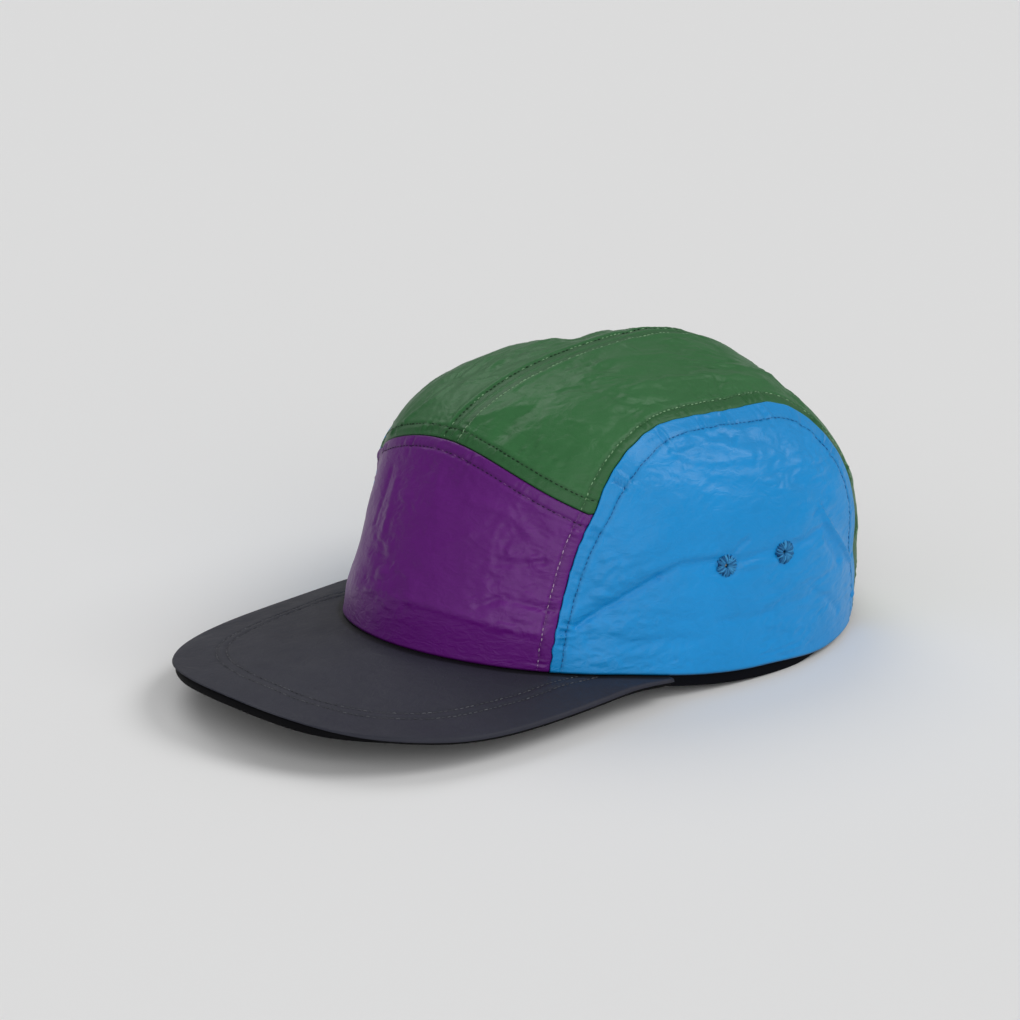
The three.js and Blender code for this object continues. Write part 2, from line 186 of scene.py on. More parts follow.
# %% Folds
# Spread and height as shares of the crown's height, then the route: degrees round from the front,
# and the share of the height over the rim
BROAD_FOLDS = [
    (0.09, 0.013, [(-22, 0.11), (2, 0.17), (28, 0.155)]),
    (0.07, -0.007, [(-12, 0.6), (4, 0.63), (24, 0.54)]),
    (0.07, -0.013, [(34, 0.17), (47, 0.31), (58, 0.4), (66, 0.41)]),
    (0.06, 0.008, [(40, 0.38), (52, 0.49)]),
    (0.06, -0.007, [(72, 0.38), (88, 0.37)]),
    (0.07, -0.012, [(105, 0.5), (113, 0.38), (122, 0.26)]),
    (0.07, 0.008, [(68, 0.78), (86, 0.71)]),
    (0.08, -0.007, [(48, 0.13), (75, 0.17), (97, 0.19)]),
    (0.07, 0.009, [(3, 0.82), (10, 0.9)]),
    (0.08, 0.008, [(48, 0.92), (90, 0.91), (132, 0.85)]),
    (0.08, -0.012, [(-36, 0.2), (-58, 0.36)]),
    (0.07, -0.01, [(-100, 0.52), (-120, 0.3)]),
    (0.08, 0.008, [(-52, 0.92), (-115, 0.88)]),
    (0.08, -0.009, [(150, 0.62), (178, 0.5), (-155, 0.58)]),
]
FINE_FOLDS = [
    # Front panel
    (0.015, 0.0045, [(-23, 0.085), (-4, 0.168), (6, 0.183), (14, 0.173), (21, 0.157), (28, 0.148)]),
    (0.02, 0.0055, [(-10.4, 0.573), (-8.4, 0.466), (-7.5, 0.372)]),
    (0.013, -0.004, [(-14, 0.6), (-12.5, 0.5), (-12, 0.4)]),
    (0.02, 0.0045, [(4.8, 0.34), (9.2, 0.417), (12.8, 0.47)]),
    (0.013, -0.006, [(16.8, 0.22), (20.1, 0.257), (25.5, 0.252), (29.6, 0.233)]),
    (0.013, -0.005, [(18.9, 0.397), (23.1, 0.389), (27.6, 0.416)]),
    (0.02, 0.0055, [(11, 0.593), (17.8, 0.578), (22, 0.553), (24.3, 0.503)]),
    (0.065, -0.025, [(-25, 0.2), (-23.5, 0.12), (-23, 0.08)]),
    (0.1, -0.012, [(-29, 0.52), (-27, 0.32)]),
    # Left side panel
    (0.012, -0.01, [(34.4, 0.178), (38.7, 0.233), (42.8, 0.273), (47.2, 0.316), (51.9, 0.359)]),
    (0.013, -0.008, [(51.9, 0.359), (56.9, 0.396), (62.2, 0.403), (66.6, 0.405)]),
    (0.028, 0.011, [(33, 0.215), (38, 0.275), (43, 0.33), (50, 0.39), (58, 0.43), (66, 0.437)]),
    (0.012, -0.007, [(72.2, 0.414), (73.8, 0.443), (76.3, 0.462)]),
    (0.011, 0.006, [(75, 0.37), (79.6, 0.371), (85.4, 0.368)]),
    (0.012, -0.006, [(73.6, 0.391), (78.8, 0.402), (84.6, 0.409)]),
    (0.01, 0.013, [(103.5, 0.5), (106.3, 0.436), (109.4, 0.384), (113.4, 0.322), (119.5, 0.237)]),
    (0.024, -0.012, [(93.2, 0.401), (99, 0.417), (103.7, 0.421), (107, 0.36), (111, 0.28)]),
    (0.02, 0.007, [(64.4, 0.798), (69.4, 0.778), (75.7, 0.75), (83.7, 0.72)]),
    (0.012, 0.005, [(57, 0.768), (62.3, 0.739), (72.2, 0.719), (83, 0.707)]),
    (0.012, -0.004, [(60, 0.78), (67.7, 0.784), (79.6, 0.775)]),
    (0.018, 0.005, [(76.5, 0.813), (83.5, 0.79), (94.4, 0.776)]),
    (0.015, -0.004, [(67.4, 0.186), (74.7, 0.188), (84.3, 0.187)]),
    (0.02, -0.0045, [(36.9, 0.128), (47.3, 0.111), (61.8, 0.126)]),
    (0.016, -0.005, [(98.8, 0.217), (106, 0.15), (111.2, 0.089)]),
    # Top panels
    (0.017, 0.006, [(4.2, 0.843), (7.7, 0.874), (14.2, 0.903)]),
    (0.014, 0.005, [(43.7, 0.935), (66.5, 0.926), (90.6, 0.911), (106.4, 0.895), (126.9, 0.842)]),
    (0.014, 0.0045, [(52.5, 0.978), (94.3, 0.961), (113.8, 0.932), (125.2, 0.903), (138.3, 0.841)]),
    (0.014, 0.007, [(-19.8, 0.758), (-17, 0.847), (-18.6, 0.898)]),
    (0.01, 0.005, [(-14.3, 0.905), (-10.9, 0.922), (-7.1, 0.938)]),
    (0.011, 0.005, [(-19.7, 0.715), (-11.5, 0.765), (-6.1, 0.799)]),
    (0.009, 0.004, [(24.7, 0.962), (32.3, 0.963), (39.9, 0.96)]),
    (0.011, -0.0035, [(19.7, 0.937), (25, 0.948), (32.9, 0.937)]),
    (0.011, 0.003, [(27.4, 0.877), (31.7, 0.867), (35.9, 0.86)]),
    (0.011, 0.004, [(34.5, 0.997), (53.9, 0.983), (87.7, 0.97)]),
    (0.009, -0.005, [(99.3, 0.896), (92.3, 0.875), (91, 0.861)]),
    (0.009, -0.005, [(90.7, 0.896), (86.1, 0.877)]),
    (0.009, -0.0045, [(78.1, 0.903), (76.9, 0.88)]),
    # Right side and back
    (0.05, 0.014, [(-35.5, 0.56), (-39, 0.6), (-43, 0.63)]),
    (0.055, -0.017, [(-105, 0.868), (-95, 0.91), (-78, 0.947), (-52, 0.979)]),
    (0.014, -0.008, [(-34, 0.22), (-42, 0.3), (-52, 0.36), (-64, 0.38)]),
    (0.026, 0.008, [(-36, 0.27), (-44, 0.35), (-54, 0.41), (-64, 0.42)]),
    (0.012, 0.008, [(-104, 0.44), (-110, 0.36), (-117, 0.25)]),
    (0.018, 0.006, [(-66, 0.78), (-76, 0.75), (-86, 0.73)]),
    (0.014, 0.006, [(-50, 0.975), (-90, 0.955), (-118, 0.92)]),
    (0.018, -0.005, [(152, 0.7), (165, 0.64), (176, 0.62)]),
    (0.014, 0.006, [(-150, 0.74), (-163, 0.66), (-172, 0.66)]),
    (0.014, 0.005, [(146, 0.83), (158, 0.78), (170, 0.8)]),
]


def to_line(points, line, batch=4000):
    """Distance from each point to a line of short straight pieces, and how far along the line its
    nearest place lies: the foot of the perpendicular on a piece, held between the piece's ends."""
    start, step = line[:-1], np.diff(line, axis=0)
    length = np.maximum(np.linalg.norm(step, axis=1), 1e-9)
    before = np.concatenate([[0], np.cumsum(length)[:-1]])
    flat = points.reshape(-1, 3)
    away, along = np.empty(len(flat)), np.empty(len(flat))
    for first in range(0, len(flat), batch):
        gap = flat[first:first + batch, None] - start
        foot = np.clip((gap * step).sum(-1) / length ** 2, 0, 1)
        distance = np.linalg.norm(gap - foot[..., None] * step, axis=-1)
        best = distance.argmin(1)
        pick = np.arange(len(best))
        away[first:first + batch] = distance[pick, best]
        along[first:first + batch] = before[best] + foot[pick, best] * length[best]
    return away.reshape(points.shape[:-1]), along.reshape(points.shape[:-1])


FOLD_LINES = []
for spread, height, route in BROAD_FOLDS + FINE_FOLDS:
    turn, share = np.array(route, float).T
    FOLD_LINES.append((spread * CROWN_HEIGHT, height * CROWN_HEIGHT, crown_place(np.radians(turn), share)))


def fold_height(points):
    """Sum over the folds of the height times e to the minus square of distance over spread."""
    height = np.zeros(points.shape[:-1])
    for spread, rise, line in FOLD_LINES:
        height += rise * np.exp(-(to_line(points, line)[0] / spread) ** 2)
    return height


print(len(FOLD_LINES), "folds")

# %% [markdown]
# Between the folds the nylon is finely crumpled. A sum of cosine waves in random directions makes a
# soft random field. Where that field is near zero its size has a sharp valley, so taking it upside
# down gives thin ridges between flat facets, as in a crumpled thin cloth.

# %% Crumples
WAVES = 22


def ripple(points, size, seed):
    """Sum of cosine waves in random directions, with lengths near the size. Its mean square is 1."""
    rng = np.random.default_rng(seed)
    axes = points.shape[-1]
    way = unit(rng.normal(size=(WAVES, axes)))
    wave = 2 * np.pi / size * rng.uniform(0.7, 1.4, WAVES)
    phase = rng.uniform(0, 2 * np.pi, WAVES)
    return np.cos(points @ (way * wave[:, None]).T + phase).sum(-1) * math.sqrt(2 / WAVES)


# Size, height (below 0 for creases) and softness of the ridges
CRUMPLES = [(22 * MM, 0.34 * MM, 1.0), (10 * MM, -0.2 * MM, 0.4), (5 * MM, 0.14 * MM, 0.25)]
# How far the ridges wander and over what length, both in crumple sizes, and the size of the calm places
WANDER, WANDER_SIZE, CALM_SIZE = 0.16, 2.2, 45 * MM


def crumple(points, size, seed, softness):
    """Ridges between facets of about the size: 0.8 less the size of a soft random field, whose
    places are first pushed about by another one so that the ridges wander."""
    push = np.stack([ripple(points, WANDER_SIZE * size, seed + k) for k in (1, 2, 3)], -1)
    field = ripple(points + WANDER * size * push, size, seed)
    return 0.8 - np.sqrt(field ** 2 + softness ** 2)


def crinkled(points, seed, stretch):
    """Crumples of three sizes, in metres. A slow field makes some places calmer than others, and the
    stretch squeezes the crumples along each axis."""
    calm = 0.65 + 0.35 * np.tanh(1.5 * ripple(points, CALM_SIZE, seed + 50))
    place = points * np.asarray(stretch)
    height = np.zeros(points.shape[:-1])
    for step, (size, rise, softness) in enumerate(CRUMPLES):
        height += rise * crumple(place, size, seed + 10 * step, softness)
    return calm * height


# %% [markdown]
# Every cloth piece is a wall: an outer grid of points, an inner grid, and strips that close it round
# the border and round each hole. The grid is finer near the edges, where the cloth rolls into the
# seam. The mesh is made of whole arrays, welded, and turned so that its faces point outwards.

# %% Walls
# The wanted spacing of the grid by the distance from its end, both in mm
FROM_END, SPACING = (0, 0.6, 1.1, 7, 11), (0.13, 0.18, 0.45, 0.5, 0.85)
TOUCH_PASSES = 4
WELD_DISTANCE = 1e-4 * MM


def graded(length, low=True, scale=1.0):
    """Shares from 0 to 1 along a length, close together at the high end, and at the low one too if it
    is asked for. The steps are evened out by adding up one over the wanted spacing."""
    place = np.linspace(0, length, 4001)
    away = length - place
    if low:
        away = np.minimum(away, place)
    spacing = scale * MM * np.interp(away / MM, FROM_END, SPACING)
    total = np.concatenate([[0], np.cumsum(np.diff(place) / spacing[1:])])
    count = math.ceil(total[-1])
    return np.interp(np.linspace(0, total[-1], count + 1), total, place) / length


def without_corner_touches(kept):
    """Where two kept cells touch at a corner only, one of them goes, so that each edge of the hole has
    just two faces. That can make a new touch beside it, so the step is done a few times."""
    kept = kept.copy()
    for _ in range(TOUCH_PASSES):
        one, other = kept[:-1, :-1] & kept[1:, 1:], kept[1:, :-1] & kept[:-1, 1:]
        none_one, none_other = ~kept[:-1, :-1] & ~kept[1:, 1:], ~kept[1:, :-1] & ~kept[:-1, 1:]
        kept[:-1, :-1][one & none_other] = False
        kept[1:, :-1][other & none_one] = False
    return kept


def wall_mesh(outer, inner, kept=None):
    """Points and triangles of the wall between two grids. A strip is added along each grid edge that
    has a kept cell on one side only, so borders and holes are closed alike."""
    columns, rows = outer.shape[:2]
    kept = np.ones((columns - 1, rows - 1), bool) if kept is None else without_corner_touches(kept)
    front = np.arange(columns * rows).reshape(columns, rows)
    back = front + columns * rows
    quads = []

    def skin(grid, order):
        corners = [grid[:-1, :-1], grid[1:, :-1], grid[1:, 1:], grid[:-1, 1:]]
        quads.append(np.stack([corners[k][kept] for k in order], -1))

    skin(front, (0, 1, 2, 3))
    skin(back, (0, 3, 2, 1))
    pad = np.pad(kept, 1)
    left, right = pad[:-1, 1:-1], pad[1:, 1:-1]
    below, above = pad[1:-1, :-1], pad[1:-1, 1:]

    def strip(chosen, first, second):
        quads.append(np.stack([front[first][chosen], front[second][chosen],
                               back[second][chosen], back[first][chosen]], -1))

    low_v, high_v = np.s_[:, :-1], np.s_[:, 1:]
    low_u, high_u = np.s_[:-1, :], np.s_[1:, :]
    strip(right & ~left, low_v, high_v)
    strip(left & ~right, high_v, low_v)
    strip(above & ~below, high_u, low_u)
    strip(below & ~above, low_u, high_u)
    quads = np.concatenate(quads)
    triangles = np.concatenate([quads[:, [0, 1, 2]], quads[:, [0, 2, 3]]])
    return np.concatenate([outer.reshape(-1, 3), inner.reshape(-1, 3)]), triangles


def welded(points, triangles, marks):
    """Points nearer than a ten thousandth of a millimetre become one, and triangles that close up go.
    The whole is turned inside out if its signed volume is negative."""
    keys = np.round(points / WELD_DISTANCE).astype(np.int64)
    _, first, same = np.unique(keys, axis=0, return_index=True, return_inverse=True)
    triangles = same.reshape(-1)[triangles]
    open_ones = ((triangles[:, 0] != triangles[:, 1]) & (triangles[:, 1] != triangles[:, 2])
                 & (triangles[:, 2] != triangles[:, 0]))
    triangles = triangles[open_ones]
    used, triangles = np.unique(triangles, return_inverse=True)
    triangles = triangles.reshape(-1, 3)
    points = points[first[used]]
    marks = {name: values[first[used]] for name, values in marks.items()}
    a, b, c = (points[triangles[:, k]] for k in range(3))
    volume = (a * np.cross(b, c)).sum() / 6
    if volume < 0:
        triangles = triangles[:, ::-1]
    return points, triangles, marks, abs(volume)


def open_edges(triangles):
    """How many edges aren't shared by exactly two triangles that run along it opposite ways."""
    ends = np.concatenate([triangles[:, [0, 1]], triangles[:, [1, 2]], triangles[:, [2, 0]]])
    ends = ends.astype(np.int64)
    size = triangles.max() + 1
    there, back = np.sort(ends[:, 0] * size + ends[:, 1]), np.sort(ends[:, 1] * size + ends[:, 0])
    return int((there != back).sum() + (np.diff(there) == 0).sum())


def new_piece(name, points, triangles, material, uv=None, marks=None, colours=None, replaces=(),
              slot=None):
    """A smooth mesh object from arrays. uv is in metres along the cloth, marks are numbers kept at the
    points, and colours are kept at the points under the name tint."""
    values = dict(marks or {})
    if uv is not None:
        values["uv"] = uv
    if colours is not None:
        values["tint"] = colours
    points, triangles, values, volume = welded(points, triangles, values)
    mesh = bpy.data.meshes.new(name)
    mesh.from_pydata(points.tolist(), [], triangles.tolist())
    mesh.polygons.foreach_set("use_smooth", np.ones(len(triangles), bool))
    if uv is not None:
        layer = mesh.uv_layers.new(name="cloth")
        layer.data.foreach_set("uv", values.pop("uv")[triangles.ravel()].astype(np.float32).ravel())
    if colours is not None:
        tint = mesh.color_attributes.new("tint", "FLOAT_COLOR", "POINT")
        rgba = np.concatenate([values.pop("tint"), np.ones((len(points), 1))], 1)
        tint.data.foreach_set("color", rgba.astype(np.float32).ravel())
    for key, numbers in values.items():
        mesh.attributes.new(key, "FLOAT", "POINT").data.foreach_set("value", numbers.astype(np.float32))
    mesh.update()
    mesh.materials.append(material)
    piece = bpy.data.objects.new(name, mesh)
    bpy.context.scene.collection.objects.link(piece)
    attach(piece, "root")
    if replaces:
        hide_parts(*replaces)
    print(f"{name}: {len(triangles)} triangles, {open_edges(triangles)} open edges, "
          f"{volume * 1e6:.2f} cm3")
    return piece


# %% [markdown]
# Finishes come before the pieces, so that each piece can take its own. Three effects are shared, so
# each is a node group with named values: a plain weave that follows the cloth's own map, a fine
# crinkle on object coordinates, and a slow change of tone.

# %% Helpers for node groups
def socket(group, name, kind, way, value=None):
    """A named input or output of a node group."""
    made = group.interface.new_socket(name=name, in_out=way, socket_type=kind)
    if value is not None:
        made.default_value = value
    return made


def link(tree, *pairs):
    """Joins pairs of sockets."""
    for source, target in pairs:
        tree.links.new(source, target)


def math_node(tree, operation, first, second=None, third=None, clamp=False):
    """A Math node. Each value is a number or a socket."""
    node = tree.nodes.new("ShaderNodeMath")
    node.operation = operation
    node.use_clamp = clamp
    for place, value in enumerate((first, second, third)):
        if value is None:
            continue
        if isinstance(value, (int, float)):
            node.inputs[place].default_value = value
        else:
            tree.links.new(value, node.inputs[place])
    return node.outputs[0]


def group_shell(name, inputs, outputs):
    """An empty node group with its sockets, its input node and its output node."""
    group = bpy.data.node_groups.new(name, "ShaderNodeTree")
    for label, kind, value in inputs:
        socket(group, label, kind, "INPUT", value)
    for label, kind in outputs:
        socket(group, label, kind, "OUTPUT")
    return group, group.nodes.new("NodeGroupInput"), group.nodes.new("NodeGroupOutput")


def noise_node(tree, vector, scale, detail=2.0, roughness=0.5, distortion=0.0):
    """A Noise texture. Its scale is in waves to the metre, as a number or a socket."""
    node = tree.nodes.new("ShaderNodeTexNoise")
    node.inputs["Detail"].default_value = detail
    node.inputs["Roughness"].default_value = roughness
    node.inputs["Distortion"].default_value = distortion
    tree.links.new(vector, node.inputs["Vector"])
    if isinstance(scale, (int, float)):
        node.inputs["Scale"].default_value = scale
    else:
        tree.links.new(scale, node.inputs["Scale"])
    return node.outputs[0]


# %% Weave, crinkle and tone
def weave_group():
    """Height of a plain weave: over each crossing the warp or the weft is on top, like squares on a
    board, and each thread is as round as the size of a sine."""
    group, into, out = group_shell(
        "plain_weave",
        [("Map", "NodeSocketVector", None), ("Threads", "NodeSocketFloat", 4000.0)],
        [("Height", "NodeSocketFloat")])
    split = group.nodes.new("ShaderNodeSeparateXYZ")
    link(group, (into.outputs["Map"], split.inputs[0]))
    turns = []
    for axis in range(2):
        turns.append(math_node(group, "MULTIPLY", split.outputs[axis],
                               math_node(group, "MULTIPLY", into.outputs["Threads"], math.pi)))
    warp, weft = (math_node(group, "SINE", turn) for turn in turns)
    board = math_node(group, "MULTIPLY_ADD", math_node(group, "MULTIPLY", warp, weft), 0.5, 0.5)
    high = math_node(group, "MULTIPLY", math_node(group, "ABSOLUTE", warp), board)
    low = math_node(group, "MULTIPLY", math_node(group, "ABSOLUTE", weft),
                    math_node(group, "SUBTRACT", 1.0, board))
    link(group, (math_node(group, "ADD", high, low), out.inputs["Height"]))
    return group


def crinkle_group():
    """Height of the fine crinkles: soft noise, plus thin ridges, both flattened upwards so that they
    run across the cloth. Ridges also comes out by itself, so that the tone can be made lighter along them."""
    group, into, out = group_shell(
        "fine_crinkle",
        [("Place", "NodeSocketVector", None), ("Scale", "NodeSocketFloat", 260.0),
         ("Squeeze", "NodeSocketFloat", 2.0)],
        [("Height", "NodeSocketFloat"), ("Ridges", "NodeSocketFloat")])
    squeeze = group.nodes.new("ShaderNodeCombineXYZ")
    squeeze.inputs[0].default_value = 1.0
    squeeze.inputs[1].default_value = 1.0
    stretch = group.nodes.new("ShaderNodeVectorMath")
    stretch.operation = "MULTIPLY"
    link(group, (into.outputs["Squeeze"], squeeze.inputs[2]), (into.outputs["Place"], stretch.inputs[0]),
         (squeeze.outputs[0], stretch.inputs[1]))
    soft = noise_node(group, stretch.outputs[0], into.outputs["Scale"], 3.0, 0.55, 0.4)
    ridge_scale = math_node(group, "MULTIPLY", into.outputs["Scale"], 0.6)
    field = noise_node(group, stretch.outputs[0], ridge_scale, 2.0, 0.5, 0.8)
    away = math_node(group, "ABSOLUTE", math_node(group, "SUBTRACT", field, 0.5))
    ridges = math_node(group, "SUBTRACT", 1.0, math_node(group, "MULTIPLY", away, 7.0), clamp=True)
    height = math_node(group, "MULTIPLY_ADD", ridges, 0.35, soft)
    link(group, (height, out.inputs["Height"]), (ridges, out.inputs["Ridges"]))
    return group


def tone_group():
    """A colour that drifts between a darker and a lighter one with slow noise, and is lifted a little
    by a mask, such as the fine crinkle's ridges."""
    group, into, out = group_shell(
        "drifting_tone",
        [("Place", "NodeSocketVector", None), ("Dark", "NodeSocketColor", (0, 0, 0, 1)),
         ("Light", "NodeSocketColor", (1, 1, 1, 1)), ("Scale", "NodeSocketFloat", 30.0),
         ("Mask", "NodeSocketFloat", 0.0), ("Lift", "NodeSocketFloat", 0.2)],
        [("Colour", "NodeSocketColor")])
    drift = noise_node(group, into.outputs["Place"], into.outputs["Scale"], 4.0, 0.6)
    spread = math_node(group, "MULTIPLY_ADD", drift, 2.2, -0.6, clamp=True)
    factor = math_node(group, "MULTIPLY_ADD", into.outputs["Mask"], into.outputs["Lift"], spread,
                       clamp=True)
    mix = group.nodes.new("ShaderNodeMix")
    mix.data_type = "RGBA"
    link(group, (factor, mix.inputs["Factor"]), (into.outputs["Dark"], mix.inputs[6]),
         (into.outputs["Light"], mix.inputs[7]), (mix.outputs[2], out.inputs["Colour"]))
    return group


WEAVE, CRINKLE, TONE = weave_group(), crinkle_group(), tone_group()
print("Node groups:", [group.name for group in (WEAVE, CRINKLE, TONE)])


# %% Cloth, thread and plastic finishes
def linear(colour):
    """Screen colour from 0 to 255 as the light value that shaders use."""
    value = np.asarray(colour, float) / 255
    return np.where(value <= 0.04045, value / 12.92, ((value + 0.055) / 1.055) ** 2.4)


def rgba(colour, factor=1.0):
    """A light value times a factor, as red, green, blue and alpha."""
    return (*[float(min(1.0, part * factor)) for part in colour], 1.0)


def placed_group(tree, group, **values):
    """A node group in a material, with numbers or colours set and sockets linked, by input name."""
    node = tree.nodes.new("ShaderNodeGroup")
    node.node_tree = group
    for name, value in values.items():
        target = node.inputs[name]
        if isinstance(value, bpy.types.NodeSocket):
            tree.links.new(value, target)
        else:
            target.default_value = value
    return node


def bump(tree, height, distance, strength, normal=None):
    """A Bump node over another normal."""
    node = tree.nodes.new("ShaderNodeBump")
    node.inputs["Distance"].default_value = distance
    node.inputs["Strength"].default_value = strength
    tree.links.new(height, node.inputs["Height"])
    if normal is not None:
        tree.links.new(normal, node.inputs["Normal"])
    return node.outputs[0]


def bare_material(name):
    """A material with only its Principled shader and its output, and its Object coordinates."""
    material = bpy.data.materials.new(name)
    material.use_nodes = True
    tree = material.node_tree
    shader = tree.nodes["Principled BSDF"]
    place = tree.nodes.new("ShaderNodeTexCoord").outputs["Object"]
    return material, tree, shader, place


def mark(tree, name):
    """The number kept at the points under a name."""
    node = tree.nodes.new("ShaderNodeAttribute")
    node.attribute_name = name
    return node.outputs["Fac"]


def darkened(tree, colour, factor, share):
    """The colour times a share, as far as the factor says."""
    mix = tree.nodes.new("ShaderNodeMix")
    mix.data_type = "RGBA"
    mix.blend_type = "MULTIPLY"
    mix.inputs[7].default_value = (share, share, share, 1)
    link(tree, (factor, mix.inputs["Factor"]), (colour, mix.inputs[6]))
    return mix.outputs[2]


# How much of its colour the cloth keeps under the deepest painted shade of a seam, groove or hem
SHADE_LEFT = 0.18


def cloth(name, colour, strip=1.0, gloss=0.33, sheen=0.01, rough=0.41, crinkle=0.36, weave=0.05,
          threads=3600.0, spread=0.06):
    """Woven cloth: a drifting tone, a little lighter along the crinkle's ridges and darker where it is
    sewn double, with painted shade in the folds of its seams, in its grooves and at its hems, and with
    a crinkle and a weave."""
    material, tree, shader, place = bare_material(name)
    uv = tree.nodes.new("ShaderNodeUVMap")
    uv.uv_map = "cloth"
    fine = placed_group(tree, CRINKLE, Place=place, Scale=230.0)
    woven = placed_group(tree, WEAVE, Map=uv.outputs[0], Threads=threads)
    tone = placed_group(tree, TONE, Place=place, Dark=rgba(colour, 1 - spread),
                        Light=rgba(colour, 1 + spread), Mask=fine.outputs["Ridges"], Lift=0.3)
    sewn = darkened(tree, tone.outputs[0], mark(tree, "strip"), strip)
    # Painted shade: the shade mark darkens the colour in seam folds, row grooves and hems
    link(tree, (darkened(tree, sewn, mark(tree, "shade"), SHADE_LEFT), shader.inputs["Base Color"]))
    worn = noise_node(tree, place, 90.0, 3.0, 0.6)
    link(tree, (math_node(tree, "MULTIPLY_ADD", worn, 0.22, rough - 0.11), shader.inputs["Roughness"]))
    under = bump(tree, woven.outputs[0], 0.1 * MM, weave)
    link(tree, (bump(tree, fine.outputs["Height"], 0.45 * MM, crinkle, under), shader.inputs["Normal"]))
    shader.inputs["Sheen Weight"].default_value = sheen
    shader.inputs["Sheen Roughness"].default_value = 0.45
    shader.inputs["Specular IOR Level"].default_value = gloss
    return material


def thread_material():
    """Sewing thread: each stitch takes the tint kept at its points, with two plies as a fine bump."""
    material, tree, shader, place = bare_material("sewing_thread")
    tint = tree.nodes.new("ShaderNodeAttribute")
    tint.attribute_name = "tint"
    fleck = noise_node(tree, place, 1500.0, 2.0, 0.5)
    link(tree, (darkened(tree, tint.outputs["Color"], fleck, 0.62), shader.inputs["Base Color"]))
    plies = noise_node(tree, place, 3500.0, 1.0)
    link(tree, (bump(tree, plies, 0.1 * MM, 0.5), shader.inputs["Normal"]))
    shader.inputs["Roughness"].default_value = 0.55
    shader.inputs["Specular IOR Level"].default_value = 0.2
    return material


def plastic_material(name, colour):
    """Moulded plastic with a faint grain and a tone that drifts a little."""
    material, tree, shader, place = bare_material(name)
    tone = placed_group(tree, TONE, Place=place, Dark=rgba(colour, 0.8), Light=rgba(colour, 1.5),
                        Scale=200.0)
    grain = noise_node(tree, place, 4000.0, 2.0)
    link(tree, (tone.outputs[0], shader.inputs["Base Color"]),
         (bump(tree, grain, 0.05 * MM, 0.3), shader.inputs["Normal"]),
         (math_node(tree, "MULTIPLY_ADD", grain, 0.15, 0.33), shader.inputs["Roughness"]))
    return material


PURPLE, BLUE, GREEN = (0.106, 0.0024, 0.167), (0.002, 0.238, 0.585), (0.0265, 0.124, 0.0375)
CHARCOAL, BLACK, NAVY = (0.0232, 0.0242, 0.036), linear((8, 8, 11)), linear((7, 8, 14))
PURPLE_CLOTH = cloth("crinkled_purple", PURPLE, strip=0.92)
BLUE_CLOTH = cloth("crinkled_blue", BLUE, strip=0.97)
GREEN_CLOTH = cloth("crinkled_green", GREEN, strip=0.8, gloss=0.26, rough=0.45)
PEAK_CLOTH = cloth("smooth_charcoal", CHARCOAL, gloss=0.22, rough=0.58, crinkle=0.3, weave=0.12,
                   spread=0.08)
LINING_CLOTH = cloth("lining_black", BLACK, gloss=0.08, rough=0.75, crinkle=0.1, sheen=0.0, weave=0.3,
                     threads=1800.0)
BAND_CLOTH = cloth("band_black", NAVY, gloss=0.08, rough=0.8, crinkle=0.1, sheen=0.0, weave=0.4,
                   threads=1500.0)
THREAD = thread_material()
PLASTIC = plastic_material("black_plastic", linear((15, 15, 17)))
print("Materials:", [material.name for material in bpy.data.materials])

# %% [markdown]
# At a seam the cloth of each panel rolls in. Under the cloth lies a seam allowance, held by a row of
# topstitching 4 to 7 mm from the seam. So each panel has a strip between seam and row, a groove under
# the row, a soft shoulder just past it, and small puckers that come in clusters where the thread was
# pulled tight. The allowances at the centre seam are pressed flat instead, so its strip lies lower.

# %% The shape of a seam
# line is the border. insets are the row's distances from it in mm, at even shares along it. The next
# five are lengths: the strip's height, how proud the border itself stands, the shoulder past the row,
# the radius of the rolled edge and the height of the puckers. dark is how much painted shade the rolled
# edge gets.
Seam = namedtuple("Seam", "line insets strip proud shoulder roll pucker dark")
# The deep seam between the front and the top panels, an upright or arched seam that is tucked in, the
# side panel's border, which lies on top of that one, and the flat centre seam
CROSS_SEAM = (0.12 * MM, 0, 0.12 * MM, 0.6 * MM, 0.18 * MM, 0.37)
TUCKED_SEAM = (0.1 * MM, -0.2 * MM, 0.15 * MM, 0.45 * MM, 0.22 * MM, 0.1)
SIDE_SEAM = (0.15 * MM, 0.25 * MM, 0.1 * MM, 0.3 * MM, 0.19 * MM, 0.0)
CENTRE_SEAM = (-0.3 * MM, -0.1 * MM, 0.4 * MM, 0.12 * MM, 0.06 * MM, 0.0)
# GROOVE_SHADE is the painted shade in a row's groove, and EDGE_SHADE_REACH how far the painted shade of a
# rolled edge reaches in
GROOVE, GROOVE_SPREAD, GROOVE_SHADE = 0.3 * MM, 0.6 * MM, 0.22
PUCKER_SIZE, PUCKER_START, PUCKER_REACH, CLUSTER_SIZE = 4.6 * MM, 2.5 * MM, 4 * MM, 21 * MM
STRIP_SLOPE, PROUD_REACH, EDGE_SHADE_REACH = 1.4 * MM, 1.3 * MM, 0.45 * MM
SHOULDER_PLACE, SHOULDER_SPREAD = 1.3 * MM, 1.1 * MM


def roll_depth(distance, radius):
    """How far cloth has turned in near its edge: a quarter circle of the given radius."""
    left = np.clip(radius - distance, 0, radius)
    return radius - np.sqrt(np.maximum(radius ** 2 - left ** 2, 0))


def at_shares(table, share):
    """A smooth curve through numbers in mm that are given at even shares."""
    return catmull_rom(np.array(table, float)[:, None] * MM, np.clip(share, 0, 1), False)[..., 0]


